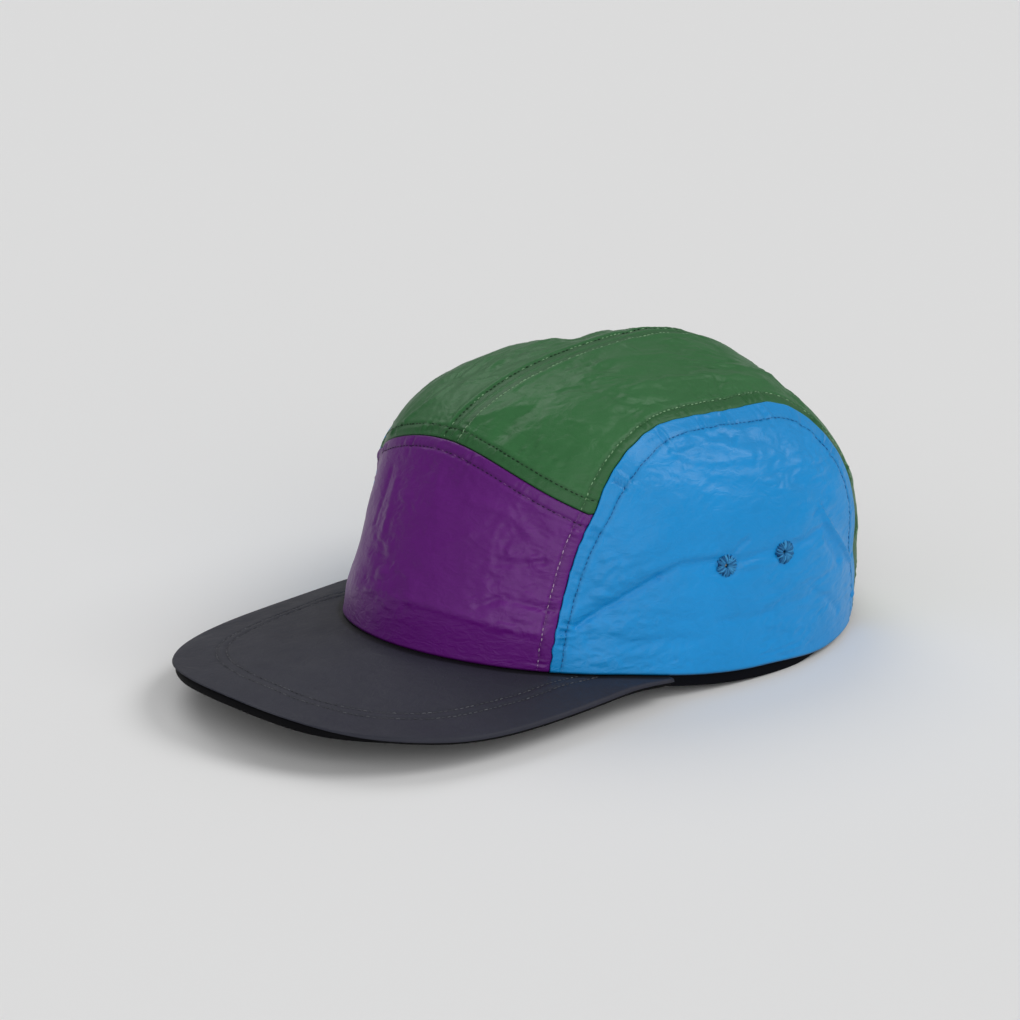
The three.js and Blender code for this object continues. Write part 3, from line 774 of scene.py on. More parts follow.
def puckers(distance, along, inset, seed):
    """Waves along the seam, taller in clusters. They fill the strip and soon fade past the row."""
    place = along[..., None]
    cluster = np.clip(0.45 + 0.6 * ripple(place, CLUSTER_SIZE, seed), 0, 1.6)
    waves = ripple(place, PUCKER_SIZE, seed + 1) + 0.6 * ripple(place, PUCKER_SIZE / 2, seed + 2)
    past = np.maximum(0, distance - inset)
    fade = (smooth(distance / PUCKER_START) * (1 - 0.6 * smooth(past / MM))
            * np.exp(-(past / PUCKER_REACH) ** 2))
    return cluster * waves * fade


def seam_relief(seam, distance, along, length, seed):
    """Height near a seam, the mark of its strip, the painted shade of its rolled edge and groove, and
    the distance past its row."""
    inset = at_shares(seam.insets, along / length)
    past = distance - inset
    strip = smooth(distance / STRIP_SLOPE) * (1 - smooth((past + GROOVE_SPREAD) / STRIP_SLOPE))
    groove = np.exp(-(past / GROOVE_SPREAD) ** 2)
    height = (seam.strip * strip + seam.proud * np.exp(-(distance / PROUD_REACH) ** 2)
              + seam.shoulder * np.exp(-((past - SHOULDER_PLACE) / SHOULDER_SPREAD) ** 2)
              - GROOVE * groove + seam.pucker * puckers(distance, along, inset, seed)
              - roll_depth(distance, seam.roll))
    shade = np.maximum(seam.dark * np.exp(-(distance / EDGE_SHADE_REACH) ** 2), GROOVE_SHADE * groove)
    return height, strip, shade, past


def resampled(line, spacing):
    """The same line with its points evenly spaced."""
    length = np.concatenate([[0], np.cumsum(np.linalg.norm(np.diff(line, axis=0), axis=1))])
    count = max(2, math.ceil(length[-1] / spacing) + 1)
    place = np.linspace(0, length[-1], count)
    return np.stack([np.interp(place, length, line[:, axis]) for axis in range(3)], -1)


def crossing(grid, normals, past):
    """The line on a grid where the distance past the row goes through 0. Index 0 across the grid is at
    the seam, and each place is found by straight interpolation between the two points round it."""
    far = past >= 0
    found = far.any(1) & ~far[:, 0]
    lane, step = np.nonzero(found)[0], far.argmax(1)[found]
    near_by, far_by = past[lane, step - 1], past[lane, step]
    w = (near_by / (near_by - far_by))[:, None]
    line = grid[lane, step - 1] * (1 - w) + grid[lane, step] * w
    return line, unit(normals[lane, step - 1] * (1 - w) + normals[lane, step] * w)


# %% [markdown]
# A stitch is a short thread that dives into the cloth at both ends. One small capsule is worked out
# once, as rings along its length, and then all stitches of a row are placed together as one array.

# %% Stitches
STITCH_PITCH = 1.95 * MM
THREAD_RADIUS = 0.2 * MM
# Along the stitch as a share, radius and height in thread radii, between the two ends
STITCH_RINGS = np.array([(0.1, 0.8, 0.0), (0.34, 1.0, 0.5), (0.66, 1.0, 0.5), (0.9, 0.8, 0.0)])
STITCH_SIDES = 6


def stitch_shape():
    """Along, sideways and up for a capsule with its two ends sunk, and its triangles. Each ring is a
    regular polygon."""
    turn = np.arange(STITCH_SIDES) * 2 * np.pi / STITCH_SIDES
    rings = [np.stack([np.full(STITCH_SIDES, along), radius * np.cos(turn), up + radius * np.sin(turn)], -1)
             for along, radius, up in STITCH_RINGS]
    points = np.concatenate([[(0, 0, -0.9)], *rings, [(1, 0, -0.9)]])
    side = np.arange(STITCH_SIDES)
    after = (side + 1) % STITCH_SIDES
    last = len(points) - 1
    fans = [np.stack([0 * side, 1 + after, 1 + side], -1),
            np.stack([0 * side + last, last - STITCH_SIDES + side, last - STITCH_SIDES + after], -1)]
    for ring in range(len(STITCH_RINGS) - 1):
        low = 1 + ring * STITCH_SIDES
        high = low + STITCH_SIDES
        fans.append(np.stack([low + side, low + after, high + after], -1))
        fans.append(np.stack([low + side, high + after, high + side], -1))
    return points, np.concatenate(fans)


def stitch_row(line, normals, seed, share, radius):
    """All stitches of a row. Each starts a pitch after the last, covers about the share of it, and
    wavers a little to the sides."""
    rng = np.random.default_rng(seed)
    length = np.concatenate([[0], np.cumsum(np.linalg.norm(np.diff(line, axis=0), axis=1))])
    count = int((length[-1] - 0.2 * STITCH_PITCH) / STITCH_PITCH)
    start = (np.arange(count) + 0.1 + rng.uniform(-0.06, 0.06, count)) * STITCH_PITCH
    reach = (share + rng.uniform(-0.14, 0.12, count)) * STITCH_PITCH

    def at(values, place):
        return np.stack([np.interp(place, length, values[:, axis]) for axis in range(3)], -1)

    first, last = at(line, start), at(line, start + reach)
    up = unit(at(normals, start + reach / 2))
    ahead = last - first
    aside = unit(np.cross(up, ahead))
    waver = rng.uniform(-0.09, 0.09, (count, 2)) * MM
    height = radius * rng.uniform(0.5, 1.3, (count, 1, 1))
    shape, fans = stitch_shape()
    along = shape[None, :, :1]
    points = (first[:, None] + ahead[:, None] * along + up[:, None] * shape[None, :, 2:] * height
              + aside[:, None] * (shape[None, :, 1:2] * radius
                                  + waver[:, :1, None] * (1 - along) + waver[:, 1:, None] * along))
    triangles = fans[None] + len(shape) * np.arange(count)[:, None, None]
    return points.reshape(-1, 3), triangles.reshape(-1, 3), len(shape)


# A row of stitches: where it runs, a thread colour, a second one, the share of stitches that show the
# second one, how much of the pitch a stitch covers, and the thread's radius
Row = namedtuple("Row", "line normals colour other flecks cover radius", defaults=(0.66, THREAD_RADIUS))


def sew(name, rows, slot):
    """Joins rows of stitches into one piece."""
    points, triangles, colours, total = [], [], [], 0
    for seed, row in enumerate(rows):
        row_points, row_triangles, size = stitch_row(row.line, row.normals, seed + len(name),
                                                     row.cover, row.radius)
        count = len(row_points) // size
        rng = np.random.default_rng(100 + seed)
        flecked = rng.random(count) < row.flecks
        each = np.where(flecked[:, None], np.asarray(row.other), np.asarray(row.colour))
        each = each * rng.uniform(0.8, 1.15, (count, 1))
        points.append(row_points)
        triangles.append(row_triangles + total)
        colours.append(np.repeat(each, size, axis=0))
        total += len(row_points)
    return new_piece(name, np.concatenate(points), np.concatenate(triangles), THREAD,
                     colours=np.concatenate(colours), slot=slot)


# Thread colours. The dark ones stand partly for the shadow of stitches sunk in their grooves, and the pale
# ones partly for stitches that catch the light: painted shade and painted highlights on a thread whose own
# colour is close to the cloth's.
LILAC, MID_PURPLE, DARK_PURPLE = linear((196, 165, 200)), linear((128, 76, 142)), linear((48, 14, 62))
PALE_GREEN, MID_GREEN, DARK_GREEN = linear((138, 182, 138)), linear((84, 132, 88)), linear((26, 56, 32))
DARK_BLUE, PEAK_THREAD = linear((26, 104, 168)), linear((72, 74, 80))
print("A stitch has", len(stitch_shape()[1]), "triangles")

# %% [markdown]
# One function dresses any crown panel. It takes the panel's grid on the smooth crown and its border
# lines, and adds up the folds, the crumples and the relief of each seam along the crown's normal. It
# gives back the outer grid and the distances past the rows, because the stitches need them.

# %% Dressing a panel
HEM_ROLL, HEM_INNER_ROLL = 0.9 * MM, 0.6 * MM
# Painted shade along a hem's lowest roll: how dark it is at the edge and how far it reaches. The peak uses
# it for the gap under the crown's hem too.
HEM_SHADE, HEM_SHADE_REACH = 0.97, 0.7 * MM
# How much deeper the inner face lies than the wall is thick, and the least wall that a roll may leave
WALL_SPARE, WALL_LEAST = 0.4 * MM, 0.06 * MM


def dressed(base, seams, hems, seed, stretch, calm=1.0, extra=0.0):
    """Outer grid, inner grid, normals, distance past the row of each seam and then from each hem, and
    the marks for the finish: the strips sewn double, and the painted shade at rolled edges, grooves and
    hems. Hems are lines of free edges. The crumples are held small near the seams and the hems, and the
    outer face never goes under the inner one."""
    normals = crown_normal(base)
    folds = fold_height(base)
    surface = folds + extra
    strips, shades = np.zeros(base.shape[:2]), np.zeros(base.shape[:2])
    edge, hem_edge = np.full(base.shape[:2], np.inf), np.full(base.shape[:2], np.inf)
    pasts = []
    for step, seam in enumerate(seams):
        line = resampled(seam.line, 2 * MM)
        length = np.linalg.norm(np.diff(line, axis=0), axis=1).sum()
        distance, along = to_line(base, line)
        height, strip, shade, past = seam_relief(seam, distance, along, length, seed + 7 * step)
        surface = surface + height
        strips, shades = np.maximum(strips, strip), np.maximum(shades, shade)
        edge = np.minimum(edge, distance)
        pasts.append(past)
    for line in hems:
        distance, _ = to_line(base, resampled(line, 2 * MM))
        hem_edge = np.minimum(hem_edge, distance)
        pasts.append(distance)
    # Painted shade along the hems
    shades = np.maximum(shades, HEM_SHADE * np.exp(-(hem_edge / HEM_SHADE_REACH) ** 2))
    held = 0.25 + 0.75 * smooth((edge - 3 * MM) / (9 * MM))
    fade = calm * held * smooth(edge / (2 * MM)) * smooth(hem_edge / (5 * MM))
    surface = surface + fade * crinkled(base, seed, stretch) - roll_depth(hem_edge, HEM_ROLL)
    within = (folds + np.minimum(extra, 0) - CLOTH_WALL - WALL_SPARE
              + roll_depth(hem_edge, HEM_INNER_ROLL))
    surface = np.maximum(surface, within + WALL_LEAST)
    outer = base + normals * surface[..., None]
    inner = base + normals * within[..., None]
    marks = {"strip": np.tile(strips.ravel(), 2), "shade": np.tile(shades.ravel(), 2)}
    return outer, inner, normals, pasts, marks


def doubled(grid_u, grid_v):
    """A map for both faces of a wall, from two grids of lengths."""
    both = np.stack([grid_u.ravel(), grid_v.ravel()], -1)
    return np.tile(both, (2, 1))


# %% [markdown]
# The front panel stands over the peak. Its grid runs across and up: each point lies on a ray towards
# the front at its own x and height. The upper edge is a parabola that falls to the two corners. Seams
# that were sewn by hand and eye stray a little, so they follow small tables of shifts. Over the peak
# the cloth bulges, and below the bulge it turns in to its hem, which lies in the bulge's shade.

# %% Front panel
FRONT_WIDTH = 102 * MM
FRONT_TOP = 79.9 * MM
LEFT_CORNER, RIGHT_CORNER = 62.3 * MM, 60.8 * MM
CORNER_X = FRONT_WIDTH / 2
DRAWN_GAP = 0.1 * MM
# How far the side seam strays outwards at even shares of its height, from the rim up
SIDE_SEAM_STRAY = (0, -0.7, -0.6, -0.1, 1.0)
SCALLOP, SCALLOP_SIZE = 0.05 * MM, 9 * MM
AHEAD, BEHIND = np.array([0.0, -1.0, 0.0]), np.array([0.0, 1.0, 0.0])
# Height of the bulge's ridge as a share of the height over the rim, by degrees round from the front
RIDGE = np.array([
    (-35, 0.06), (-23, 0.085), (-4, 0.168), (6, 0.183), (14, 0.173), (21, 0.157), (28, 0.148), (34, 0.145),
])
# How proud the bulge stands, how far up it reaches, how steeply the cloth turns in below it, how round
# the bend between is, and the degrees from the front at which it starts to fade, left, right and over
BULGE, BULGE_REACH, TURN_IN, RIDGE_ROUND = 2.0 * MM, 38 * MM, 0.165, 1.2 * MM
BULGE_LEFT, BULGE_RIGHT, BULGE_FADE = 25, 8, 14
FRONT_STITCH_RADIUS = 0.17 * MM
FRONT_GRID = 0.75


def top_seam_height(x):
    """Height of the top seam: a parabola from the middle to the corners, level past them."""
    corner = np.where(x > 0, LEFT_CORNER, RIGHT_CORNER)
    share = np.minimum(1, np.abs(x) / CORNER_X)
    return BAND_DROP + FRONT_TOP + (corner - FRONT_TOP) * share ** 2


def seam_x(share):
    """Distance of the side seam from the middle, at a share of its height."""
    wander = SCALLOP * ripple(np.asarray(share)[..., None] * FRONT_TOP, SCALLOP_SIZE, 3)
    wander = wander * smooth(8 * share) * smooth(8 * (1 - share))
    return CORNER_X + at_shares(SIDE_SEAM_STRAY, share) + wander


def front_bulge(points):
    """Height of the bulge: full at the ridge and gone a reach above it. Below the ridge the cloth
    slopes in, with a soft bend of half the root of a square plus a square. It fades to the sides."""
    turn = np.degrees(np.arctan2(points[..., 0], APEX_Y - points[..., 1]))
    rim = rim_height(points[..., 0], points[..., 1])
    ridge = rim + np.interp(turn, RIDGE[:, 0], RIDGE[:, 1]) * (TOP_Z - rim)
    over = points[..., 2] - ridge
    below = (np.sqrt(over ** 2 + RIDGE_ROUND ** 2) - over) / 2
    fade = 1 - smooth(np.where(turn > 0, turn - BULGE_LEFT, -turn - BULGE_RIGHT) / BULGE_FADE)
    return fade * (BULGE * (1 - smooth(over / BULGE_REACH)) - TURN_IN * below)


def front_point(x, z, way=AHEAD):
    """The crown's front, or its back, at an x and a height."""
    x, z = np.broadcast_arrays(x, z)
    return crown_hit(np.stack([x, APEX_Y + 0 * x, z], -1), way)


def side_point(side, y, z):
    """The crown's side at a y and a height."""
    y, z = np.broadcast_arrays(y, z)
    return crown_hit(np.stack([0 * y, y, z], -1), np.array([side, 0.0, 0.0]))


def front_panel():
    """Grid of the front panel, dressed, sewn and made a piece."""
    u = graded(FRONT_WIDTH, scale=FRONT_GRID)
    v = graded(FRONT_TOP - FRONT_RISE, scale=FRONT_GRID)
    x = (2 * u[:, None] - 1) * (seam_x(v) - DRAWN_GAP / 2)
    low = rim_height(x[:, 0], front_point(x[:, 0], 0 * u)[:, 1])
    high = top_seam_height(x[:, -1]) - DRAWN_GAP / 2
    z = low[:, None] + (high - low)[:, None] * v
    base = front_point(x, z)
    seams = [Seam(base[:, -1], (4.2, 4.2), *CROSS_SEAM),
             Seam(base[0], (4.3, 4.3), *TUCKED_SEAM)._replace(pucker=0.1 * MM),
             Seam(base[-1], (4.3, 4.3), *TUCKED_SEAM)]
    calm = 0.15 + 0.85 * smooth((z - low[:, None] - 8 * MM) / (8 * MM))
    calm *= 1 - 0.55 * smooth((-x - 5 * MM) / (25 * MM))
    outer, inner, normals, past, marks = dressed(base, seams, [base[:, 0]], 11, (1, 1, 1.25), calm,
                                                 front_bulge(base))
    points, triangles = wall_mesh(outer, inner)
    new_piece("front_panel_cloth", points, triangles, PURPLE_CLOTH, doubled(x, z), marks,
              replaces=["front_panel"], slot="nylon_purple")
    turned, turned_normals = outer.transpose(1, 0, 2), normals.transpose(1, 0, 2)
    top_row = crossing(outer[:, ::-1], normals[:, ::-1], past[0][:, ::-1])
    right_row = crossing(turned, turned_normals, past[1].T)
    left_row = crossing(turned[:, ::-1], turned_normals[:, ::-1], past[2].T[:, ::-1])
    sew("front_panel_stitches",
        [Row(*top_row, DARK_PURPLE, MID_PURPLE, 0.15, radius=FRONT_STITCH_RADIUS),
         Row(*right_row, LILAC, MID_PURPLE, 0.55, radius=FRONT_STITCH_RADIUS),
         Row(*left_row, LILAC, MID_PURPLE, 0.55, radius=FRONT_STITCH_RADIUS)], "nylon_purple")


front_panel()

# %% [markdown]
# Each side panel is shaped like a D on its back. Its edge goes up the side seam and then over the
# arch. The grid is ruled from the rim to that edge, seen from the side, and each point lies on a ray
# to the side. Two sewn eyelets go through it, so the cells there are left out and the hole is walled.

# %% Side panels
# The arch seam behind the corner: shares of the crown's length and of its height
ARCH = np.array([
    (0.282, 0.714), (0.341, 0.789), (0.428, 0.837), (0.548, 0.845), (0.643, 0.832), (0.702, 0.807),
    (0.745, 0.759), (0.778, 0.678), (0.799, 0.578), (0.81, 0.437), (0.82, 0.236), (0.841, 0.0),
])
# How far the arch seam strays outwards from the side panel, at even shares from the corner back
ARCH_STRAY = (0, 1.5, 1.7, 0.4, -0.5, 0, 0.4, 0.7, 0, 0, 0)
# The row's distance from the edge in mm, at even shares of the whole edge
SIDE_ROW = (3.7, 3.7, 4.8, 6.6, 6.2, 6.2, 7.6, 7.8, 6.2, 5, 5)
EYELET_HEIGHT, EYELET_PITCH, EYELET_FRONT = 38.8 * MM, 24.3 * MM, 91.9 * MM
EYELET_RADIUS, EYELET_HOLE = 3.9 * MM, 1.3 * MM
ARCH_STEPS = 2001
# How far the hem hangs below the crown's rim towards the back
HEM_DROP = 2.6 * MM
# Depth and spread of the dent that an eyelet draws in the cloth, and how much wider its hole is cut
DENT, DENT_SPREAD, HOLE_SPARE = 0.35 * MM, 1.3 * MM, 0.5 * MM
SIDES = ((1, "left"), (-1, "right"))


def arch_point(side, share, outset):
    """The arch seam seen from the side, at a share of its length, moved square to the seam by the
    outset, the stray and a faint scallop."""
    corner_x = side * float(seam_x(np.array(1.0)))
    corner = front_point(corner_x, top_seam_height(corner_x))
    knots = np.stack([FRONT_Y + ARCH[:, 0] * CROWN_LENGTH, BAND_DROP + ARCH[:, 1] * CROWN_HEIGHT], -1)
    curve = catmull_rom(np.concatenate([[corner[1:]], knots]), np.linspace(0, 1, ARCH_STEPS), False)
    length = np.concatenate([[0], np.cumsum(np.linalg.norm(np.diff(curve, axis=0), axis=1))])
    place = share * length[-1]
    slope = unit(np.gradient(curve, axis=0))
    point = np.stack([np.interp(place, length, curve[:, axis]) for axis in range(2)], -1)
    along = np.stack([np.interp(place, length, slope[:, axis]) for axis in range(2)], -1)
    wander = SCALLOP * ripple(place[:, None], SCALLOP_SIZE, 4)
    wander = wander * smooth(20 * share) * smooth(20 * (1 - share))
    shift = outset + at_shares(ARCH_STRAY, share) + wander
    return point + shift[:, None] * np.stack([-along[:, 1], along[:, 0]], -1)


def side_edge(side):
    """The side panel's edge as y and z: straight up in height along the side seam, then the arch."""
    share = np.linspace(0, 1, 79)[:-1]
    x = side * (seam_x(share) + DRAWN_GAP / 2)
    low = rim_height(x[0], front_point(x[0], 0.0)[1])
    z = low + (top_seam_height(side * CORNER_X) - low) * share
    seam = np.stack([front_point(x, z)[:, 1], z], -1)
    arch = arch_point(side, np.linspace(0, 1, 246), -DRAWN_GAP / 2)
    arch[:, 1] = np.maximum(arch[:, 1], BAND_DROP)
    arch[-1, 1] = BAND_DROP
    return np.concatenate([seam, arch])


def eyelet_seat(side, order):
    """Middle and outward direction of an eyelet on the smooth crown, and that middle on the cloth."""
    y = FRONT_Y + EYELET_FRONT + order * EYELET_PITCH
    point = side_point(side, y, BAND_DROP + EYELET_HEIGHT)
    normal = crown_normal(point)
    return point, normal, point + normal * fold_height(point[None])[0]


def side_panel(side, hand):
    """Grid of a side panel, ruled between the rim and the edge, dressed, pierced and sewn."""
    edge = side_edge(side)
    y_low = edge[0, 0] + (edge[-1, 0] - edge[0, 0]) * np.linspace(0, 1, len(edge))
    low = rim_height(side_point(side, y_low, 0 * y_low)[:, 0], y_low)
    sags, ends = smooth((y_low - APEX_Y + 12 * MM) / (35 * MM)), smooth((edge[-1, 0] - y_low) / (6 * MM))
    low = low - HEM_DROP * sags * ends
    v = graded(85 * MM, scale=1.08)
    y = y_low[:, None] + (edge[:, 0] - y_low)[:, None] * v
    z = low[:, None] + (edge[:, 1] - low)[:, None] * v
    base = side_point(side, y, z)
    extra = front_bulge(base)
    kept = np.ones((y.shape[0] - 1, y.shape[1] - 1), bool)
    middles = (base[:-1, :-1] + base[1:, 1:]) / 2
    for order in (0, 1):
        point = eyelet_seat(side, order)[0]
        away = np.linalg.norm(base - point, axis=-1)
        extra -= DENT * np.exp(-((away - EYELET_RADIUS) / DENT_SPREAD) ** 2)
        kept &= np.linalg.norm(middles - point, axis=-1) > EYELET_HOLE + HOLE_SPARE
    seams = [Seam(base[:, -1], SIDE_ROW, *SIDE_SEAM)]
    seed = 31 if side > 0 else 47
    calm = 1.0 + 0.7 * smooth((z - 58 * MM) / (14 * MM))
    outer, inner, normals, past, marks = dressed(base, seams, [base[:, 0]], seed, (1, 0.5, 1.7), calm,
                                                 extra)
    points, triangles = wall_mesh(outer, inner, kept)
    new_piece(f"side_panel_{hand}_cloth", points, triangles, BLUE_CLOTH, doubled(y, z), marks,
              replaces=[f"side_panel_{hand}"], slot="nylon_blue")
    row = crossing(outer[:, ::-1], normals[:, ::-1], past[0][:, ::-1])
    sew(f"side_panel_{hand}_stitches", [Row(*row, DARK_BLUE, DARK_BLUE, 0.0, 0.85, 0.16 * MM)],
        "nylon_blue")


for side, hand in SIDES:
    side_panel(side, hand)

# %% [markdown]
# The two top panels meet in the centre seam, on a strip with a row of stitches on each side. Each
# runs from the top seam over the crown to the arched opening at the back. Its points lie on rays at
# angles about the line through the crown's middle, so that the steep front and back are covered too.

# %% Top panels
OPENING_WIDTH, OPENING_HEIGHT, OPENING_POWER = 76 * MM, 38 * MM, 2.5
OPENING_INSET = 3 * MM
# The row's distance from the arch seam in mm, at even shares from the corner back
ARCH_ROW = (4.6, 3.8, 3.3, 4.8, 5.4, 5.2, 5, 5, 5, 5, 5)
# Thread of the row beside the centre seam: the left one shows as a pale cord, pale partly as a painted
# highlight, and the right one as dots
CENTRE_ROWS = {"left": (PALE_GREEN, MID_GREEN, 0.1, 0.95, 0.24 * MM),
               "right": (DARK_GREEN, PALE_GREEN, 0.45, 0.62)}


def opening_edge(x):
    """Height of the opening's edge: a superellipse arch over the rim."""
    share = np.minimum(1, np.abs(2 * x / OPENING_WIDTH))
    return BAND_DROP + OPENING_HEIGHT * (1 - share ** OPENING_POWER)


def top_panel(side, hand):
    """Grid of a top panel: angles about the side-to-side line on one way, the share from the centre
    seam to the arch on the other."""
    def turn(y, z):
        return np.arctan2(z - BAND_DROP, APEX_Y - y)

    arch = arch_point(side, graded(215 * MM), DRAWN_GAP / 2)
    outer_seam = side_point(side, arch[:, 0], np.maximum(arch[:, 1], BAND_DROP))
    arch_x = np.abs(outer_seam[:, 0])
    seam_turn = turn(arch[:, 0], outer_seam[:, 2])
    v = graded(52 * MM)
    start = DRAWN_GAP / 2
    front_x = start + (arch_x[0] - start) * v
    front_z = top_seam_height(side * front_x) + DRAWN_GAP / 2
    rear_x = start + (arch_x[-1] - start) * v
    rear_z = opening_edge(rear_x)
    front_turn = turn(front_point(front_x, front_z)[:, 1], front_z)
    rear_turn = turn(front_point(rear_x, rear_z, BEHIND)[:, 1], rear_z)
    front_turn[-1], rear_turn[-1] = seam_turn[0], seam_turn[-1]
    share = (seam_turn - seam_turn[0]) / (seam_turn[-1] - seam_turn[0])
    angle = front_turn + (rear_turn - front_turn) * share[:, None]
    x = start + (arch_x[:, None] - start) * v
    origin = np.stack([side * x, APEX_Y + 0 * x, BAND_DROP + 0 * x], -1)
    base = crown_hit(origin, np.stack([0 * x, -np.cos(angle), np.sin(angle)], -1))
    seams = [Seam(base[0], (4.5, 4.5), *CROSS_SEAM), Seam(base[:, -1], ARCH_ROW, *TUCKED_SEAM),
             Seam(base[:, 0], (3.5, 3.5), *CENTRE_SEAM)]
    seed = 71 if side > 0 else 83
    calm = 0.9 + 0.9 * smooth((base[..., 2] - 66 * MM) / (16 * MM))
    outer, inner, normals, past, marks = dressed(base, seams, [base[-1]], seed, (1.5, 0.5, 1.2), calm)
    points, triangles = wall_mesh(outer, inner)
    run = np.concatenate([[0], np.cumsum(np.linalg.norm(np.diff(base[:, 0], axis=0), axis=1))])
    new_piece(f"top_panel_{hand}_cloth", points, triangles, GREEN_CLOTH,
              doubled(side * x, run[:, None] + 0 * x), marks,
              replaces=[f"top_panel_{hand}"], slot="nylon_green")
    turned, turned_normals = outer.transpose(1, 0, 2), normals.transpose(1, 0, 2)
    front_row = crossing(turned, turned_normals, past[0].T)
    arch_row = crossing(outer[:, ::-1], normals[:, ::-1], past[1][:, ::-1])
    centre_row = crossing(outer, normals, past[2])
    rear_row = crossing(turned[:, ::-1], turned_normals[:, ::-1], past[3].T[:, ::-1] - OPENING_INSET)
    centre = CENTRE_ROWS[hand]
    sew(f"top_panel_{hand}_stitches",
        [Row(*front_row, DARK_GREEN, MID_GREEN, 0.15), Row(*arch_row, PALE_GREEN, MID_GREEN, 0.45),
         Row(*centre_row, *centre), Row(*rear_row, DARK_GREEN, MID_GREEN, 0.2)], "nylon_green")


for side, hand in SIDES:
    top_panel(side, hand)

# %% [markdown]
# An eyelet is embroidery: a ring of padding under some forty threads that each come out of the hole,
# go over the ring and dive into the cloth. The threads are tubes along one short bent path, placed
# round the ring as an array with small seeded differences.

# %% Eyelets
EYELET_THREADS = 40
TUBE_SIDES = 6
# Distance from the middle and height over the cloth, in mm, along a thread and round the padding
THREAD_PATH = np.array([
    (0.8, -1.3), (0.95, -0.3), (1.5, 0.25), (2.4, 0.45), (3.2, 0.3), (3.8, -0.05), (3.95, -0.6),
])
PADDING = np.array([
    (1.1, -1.2), (1.1, -0.5), (1.7, 0.0), (2.4, 0.15), (3.1, 0.05), (3.5, -0.25), (3.4, -1.0),
])
PADDING_STEPS = 48
EYELET_THREAD_RADIUS = 0.22 * MM
# The threads' tones run at random from a dark blue to a light one; the light end stands partly for threads
# that catch the light, as painted highlights
EYELET_DARK, EYELET_LIGHT = linear((10, 84, 144)), linear((72, 168, 226))
PADDING_BLUE = linear((10, 72, 126))


def tubes(paths, normals, radius):
    """Closed tubes along many paths at once. Each ring is a polygon across the path, and the two ends
    close on a point."""
    count, stations = paths.shape[:2]
    sides = TUBE_SIDES
    ahead = unit(np.gradient(paths, axis=1))
    aside = unit(np.cross(ahead, normals[:, None]))
    up = np.cross(aside, ahead)
    turn = np.arange(sides) * 2 * np.pi / sides
    rings = paths[:, :, None] + radius * (aside[:, :, None] * np.cos(turn)[:, None]
                                          + up[:, :, None] * np.sin(turn)[:, None])
    size = stations * sides + 2
    points = np.concatenate([paths[:, :1], rings.reshape(count, -1, 3), paths[:, -1:]], 1)
    side = np.arange(sides)
    after = (side + 1) % sides
    fans = [np.stack([0 * side, 1 + side, 1 + after], -1),
            np.stack([0 * side + size - 1, size - 1 - sides + after, size - 1 - sides + side], -1)]
    for ring in range(stations - 1):
        low = 1 + ring * sides
        high = low + sides
        fans.append(np.stack([low + side, high + after, low + after], -1))
        fans.append(np.stack([low + side, high + side, high + after], -1))
    triangles = np.concatenate(fans)[None] + size * np.arange(count)[:, None, None]
    return points.reshape(-1, 3), triangles.reshape(-1, 3), size


def eyelet(side, hand, order, place):
    """Padding turned round the hole, and threads over it, in the eyelet's own directions."""
    _, normal, middle = eyelet_seat(side, order)
    across = unit(np.cross([0.0, 0.0, 1.0], normal))
    above = np.cross(normal, across)
    rng = np.random.default_rng(200 + 10 * order + side)
    turn = np.arange(EYELET_THREADS) + rng.uniform(-0.3, 0.3, EYELET_THREADS)
    turn = turn * 2 * np.pi / EYELET_THREADS
    reach = rng.uniform(0.95, 1.04, (EYELET_THREADS, 1))
    out = MM * (THREAD_PATH[:, 0] * (1 + (reach - 1) * (THREAD_PATH[:, 0] > 3)))
    height = MM * THREAD_PATH[:, 1] * rng.uniform(0.75, 1.2, (EYELET_THREADS, 1))
    lean = turn[:, None] + rng.uniform(-0.12, 0.12, (EYELET_THREADS, 1)) * (THREAD_PATH[:, 0] - 2.4)
    paths = (middle + normal * height[..., None] + across * (out * np.cos(lean))[..., None]
             + above * (out * np.sin(lean))[..., None])
    points, triangles, size = tubes(paths, np.tile(normal, (EYELET_THREADS, 1)), EYELET_THREAD_RADIUS)
    shade = rng.uniform(0, 1, (EYELET_THREADS, 1)) ** 0.9
    colours = np.repeat(EYELET_DARK + (EYELET_LIGHT - EYELET_DARK) * shade, size, axis=0)
    around = np.linspace(0, 2 * np.pi, PADDING_STEPS + 1)[:-1]
    ring = (middle + normal * (MM * PADDING[:, 1])[None, :, None]
            + across * (MM * PADDING[:, 0] * np.cos(around)[:, None])[..., None]
            + above * (MM * PADDING[:, 0] * np.sin(around)[:, None])[..., None])
    index = np.arange(ring.shape[0] * ring.shape[1]).reshape(ring.shape[:2])
    next_round, next_out = np.roll(index, -1, 0), np.roll(index, -1, 1)
    diagonal = np.roll(next_round, -1, 1)
    quads = np.concatenate([np.stack([index, next_round, diagonal], -1).reshape(-1, 3),
                            np.stack([index, diagonal, next_out], -1).reshape(-1, 3)])
    a, b, c = (ring.reshape(-1, 3)[quads[:, k]] - middle for k in range(3))
    if (a * np.cross(b, c)).sum() < 0:
        quads = quads[:, ::-1]
    colours = np.concatenate([colours, np.tile(PADDING_BLUE, (index.size, 1))])
    triangles = np.concatenate([triangles, quads + len(points)])
    points = np.concatenate([points, ring.reshape(-1, 3)])
    new_piece(f"eyelet_{hand}_{place}_sewn", points, triangles, THREAD, colours=colours,
              replaces=[f"eyelet_{hand}_{place}"], slot="eyelet_thread")


for side, hand in SIDES:
    for order, place in enumerate(("front", "rear")):
        eyelet(side, hand, order, place)

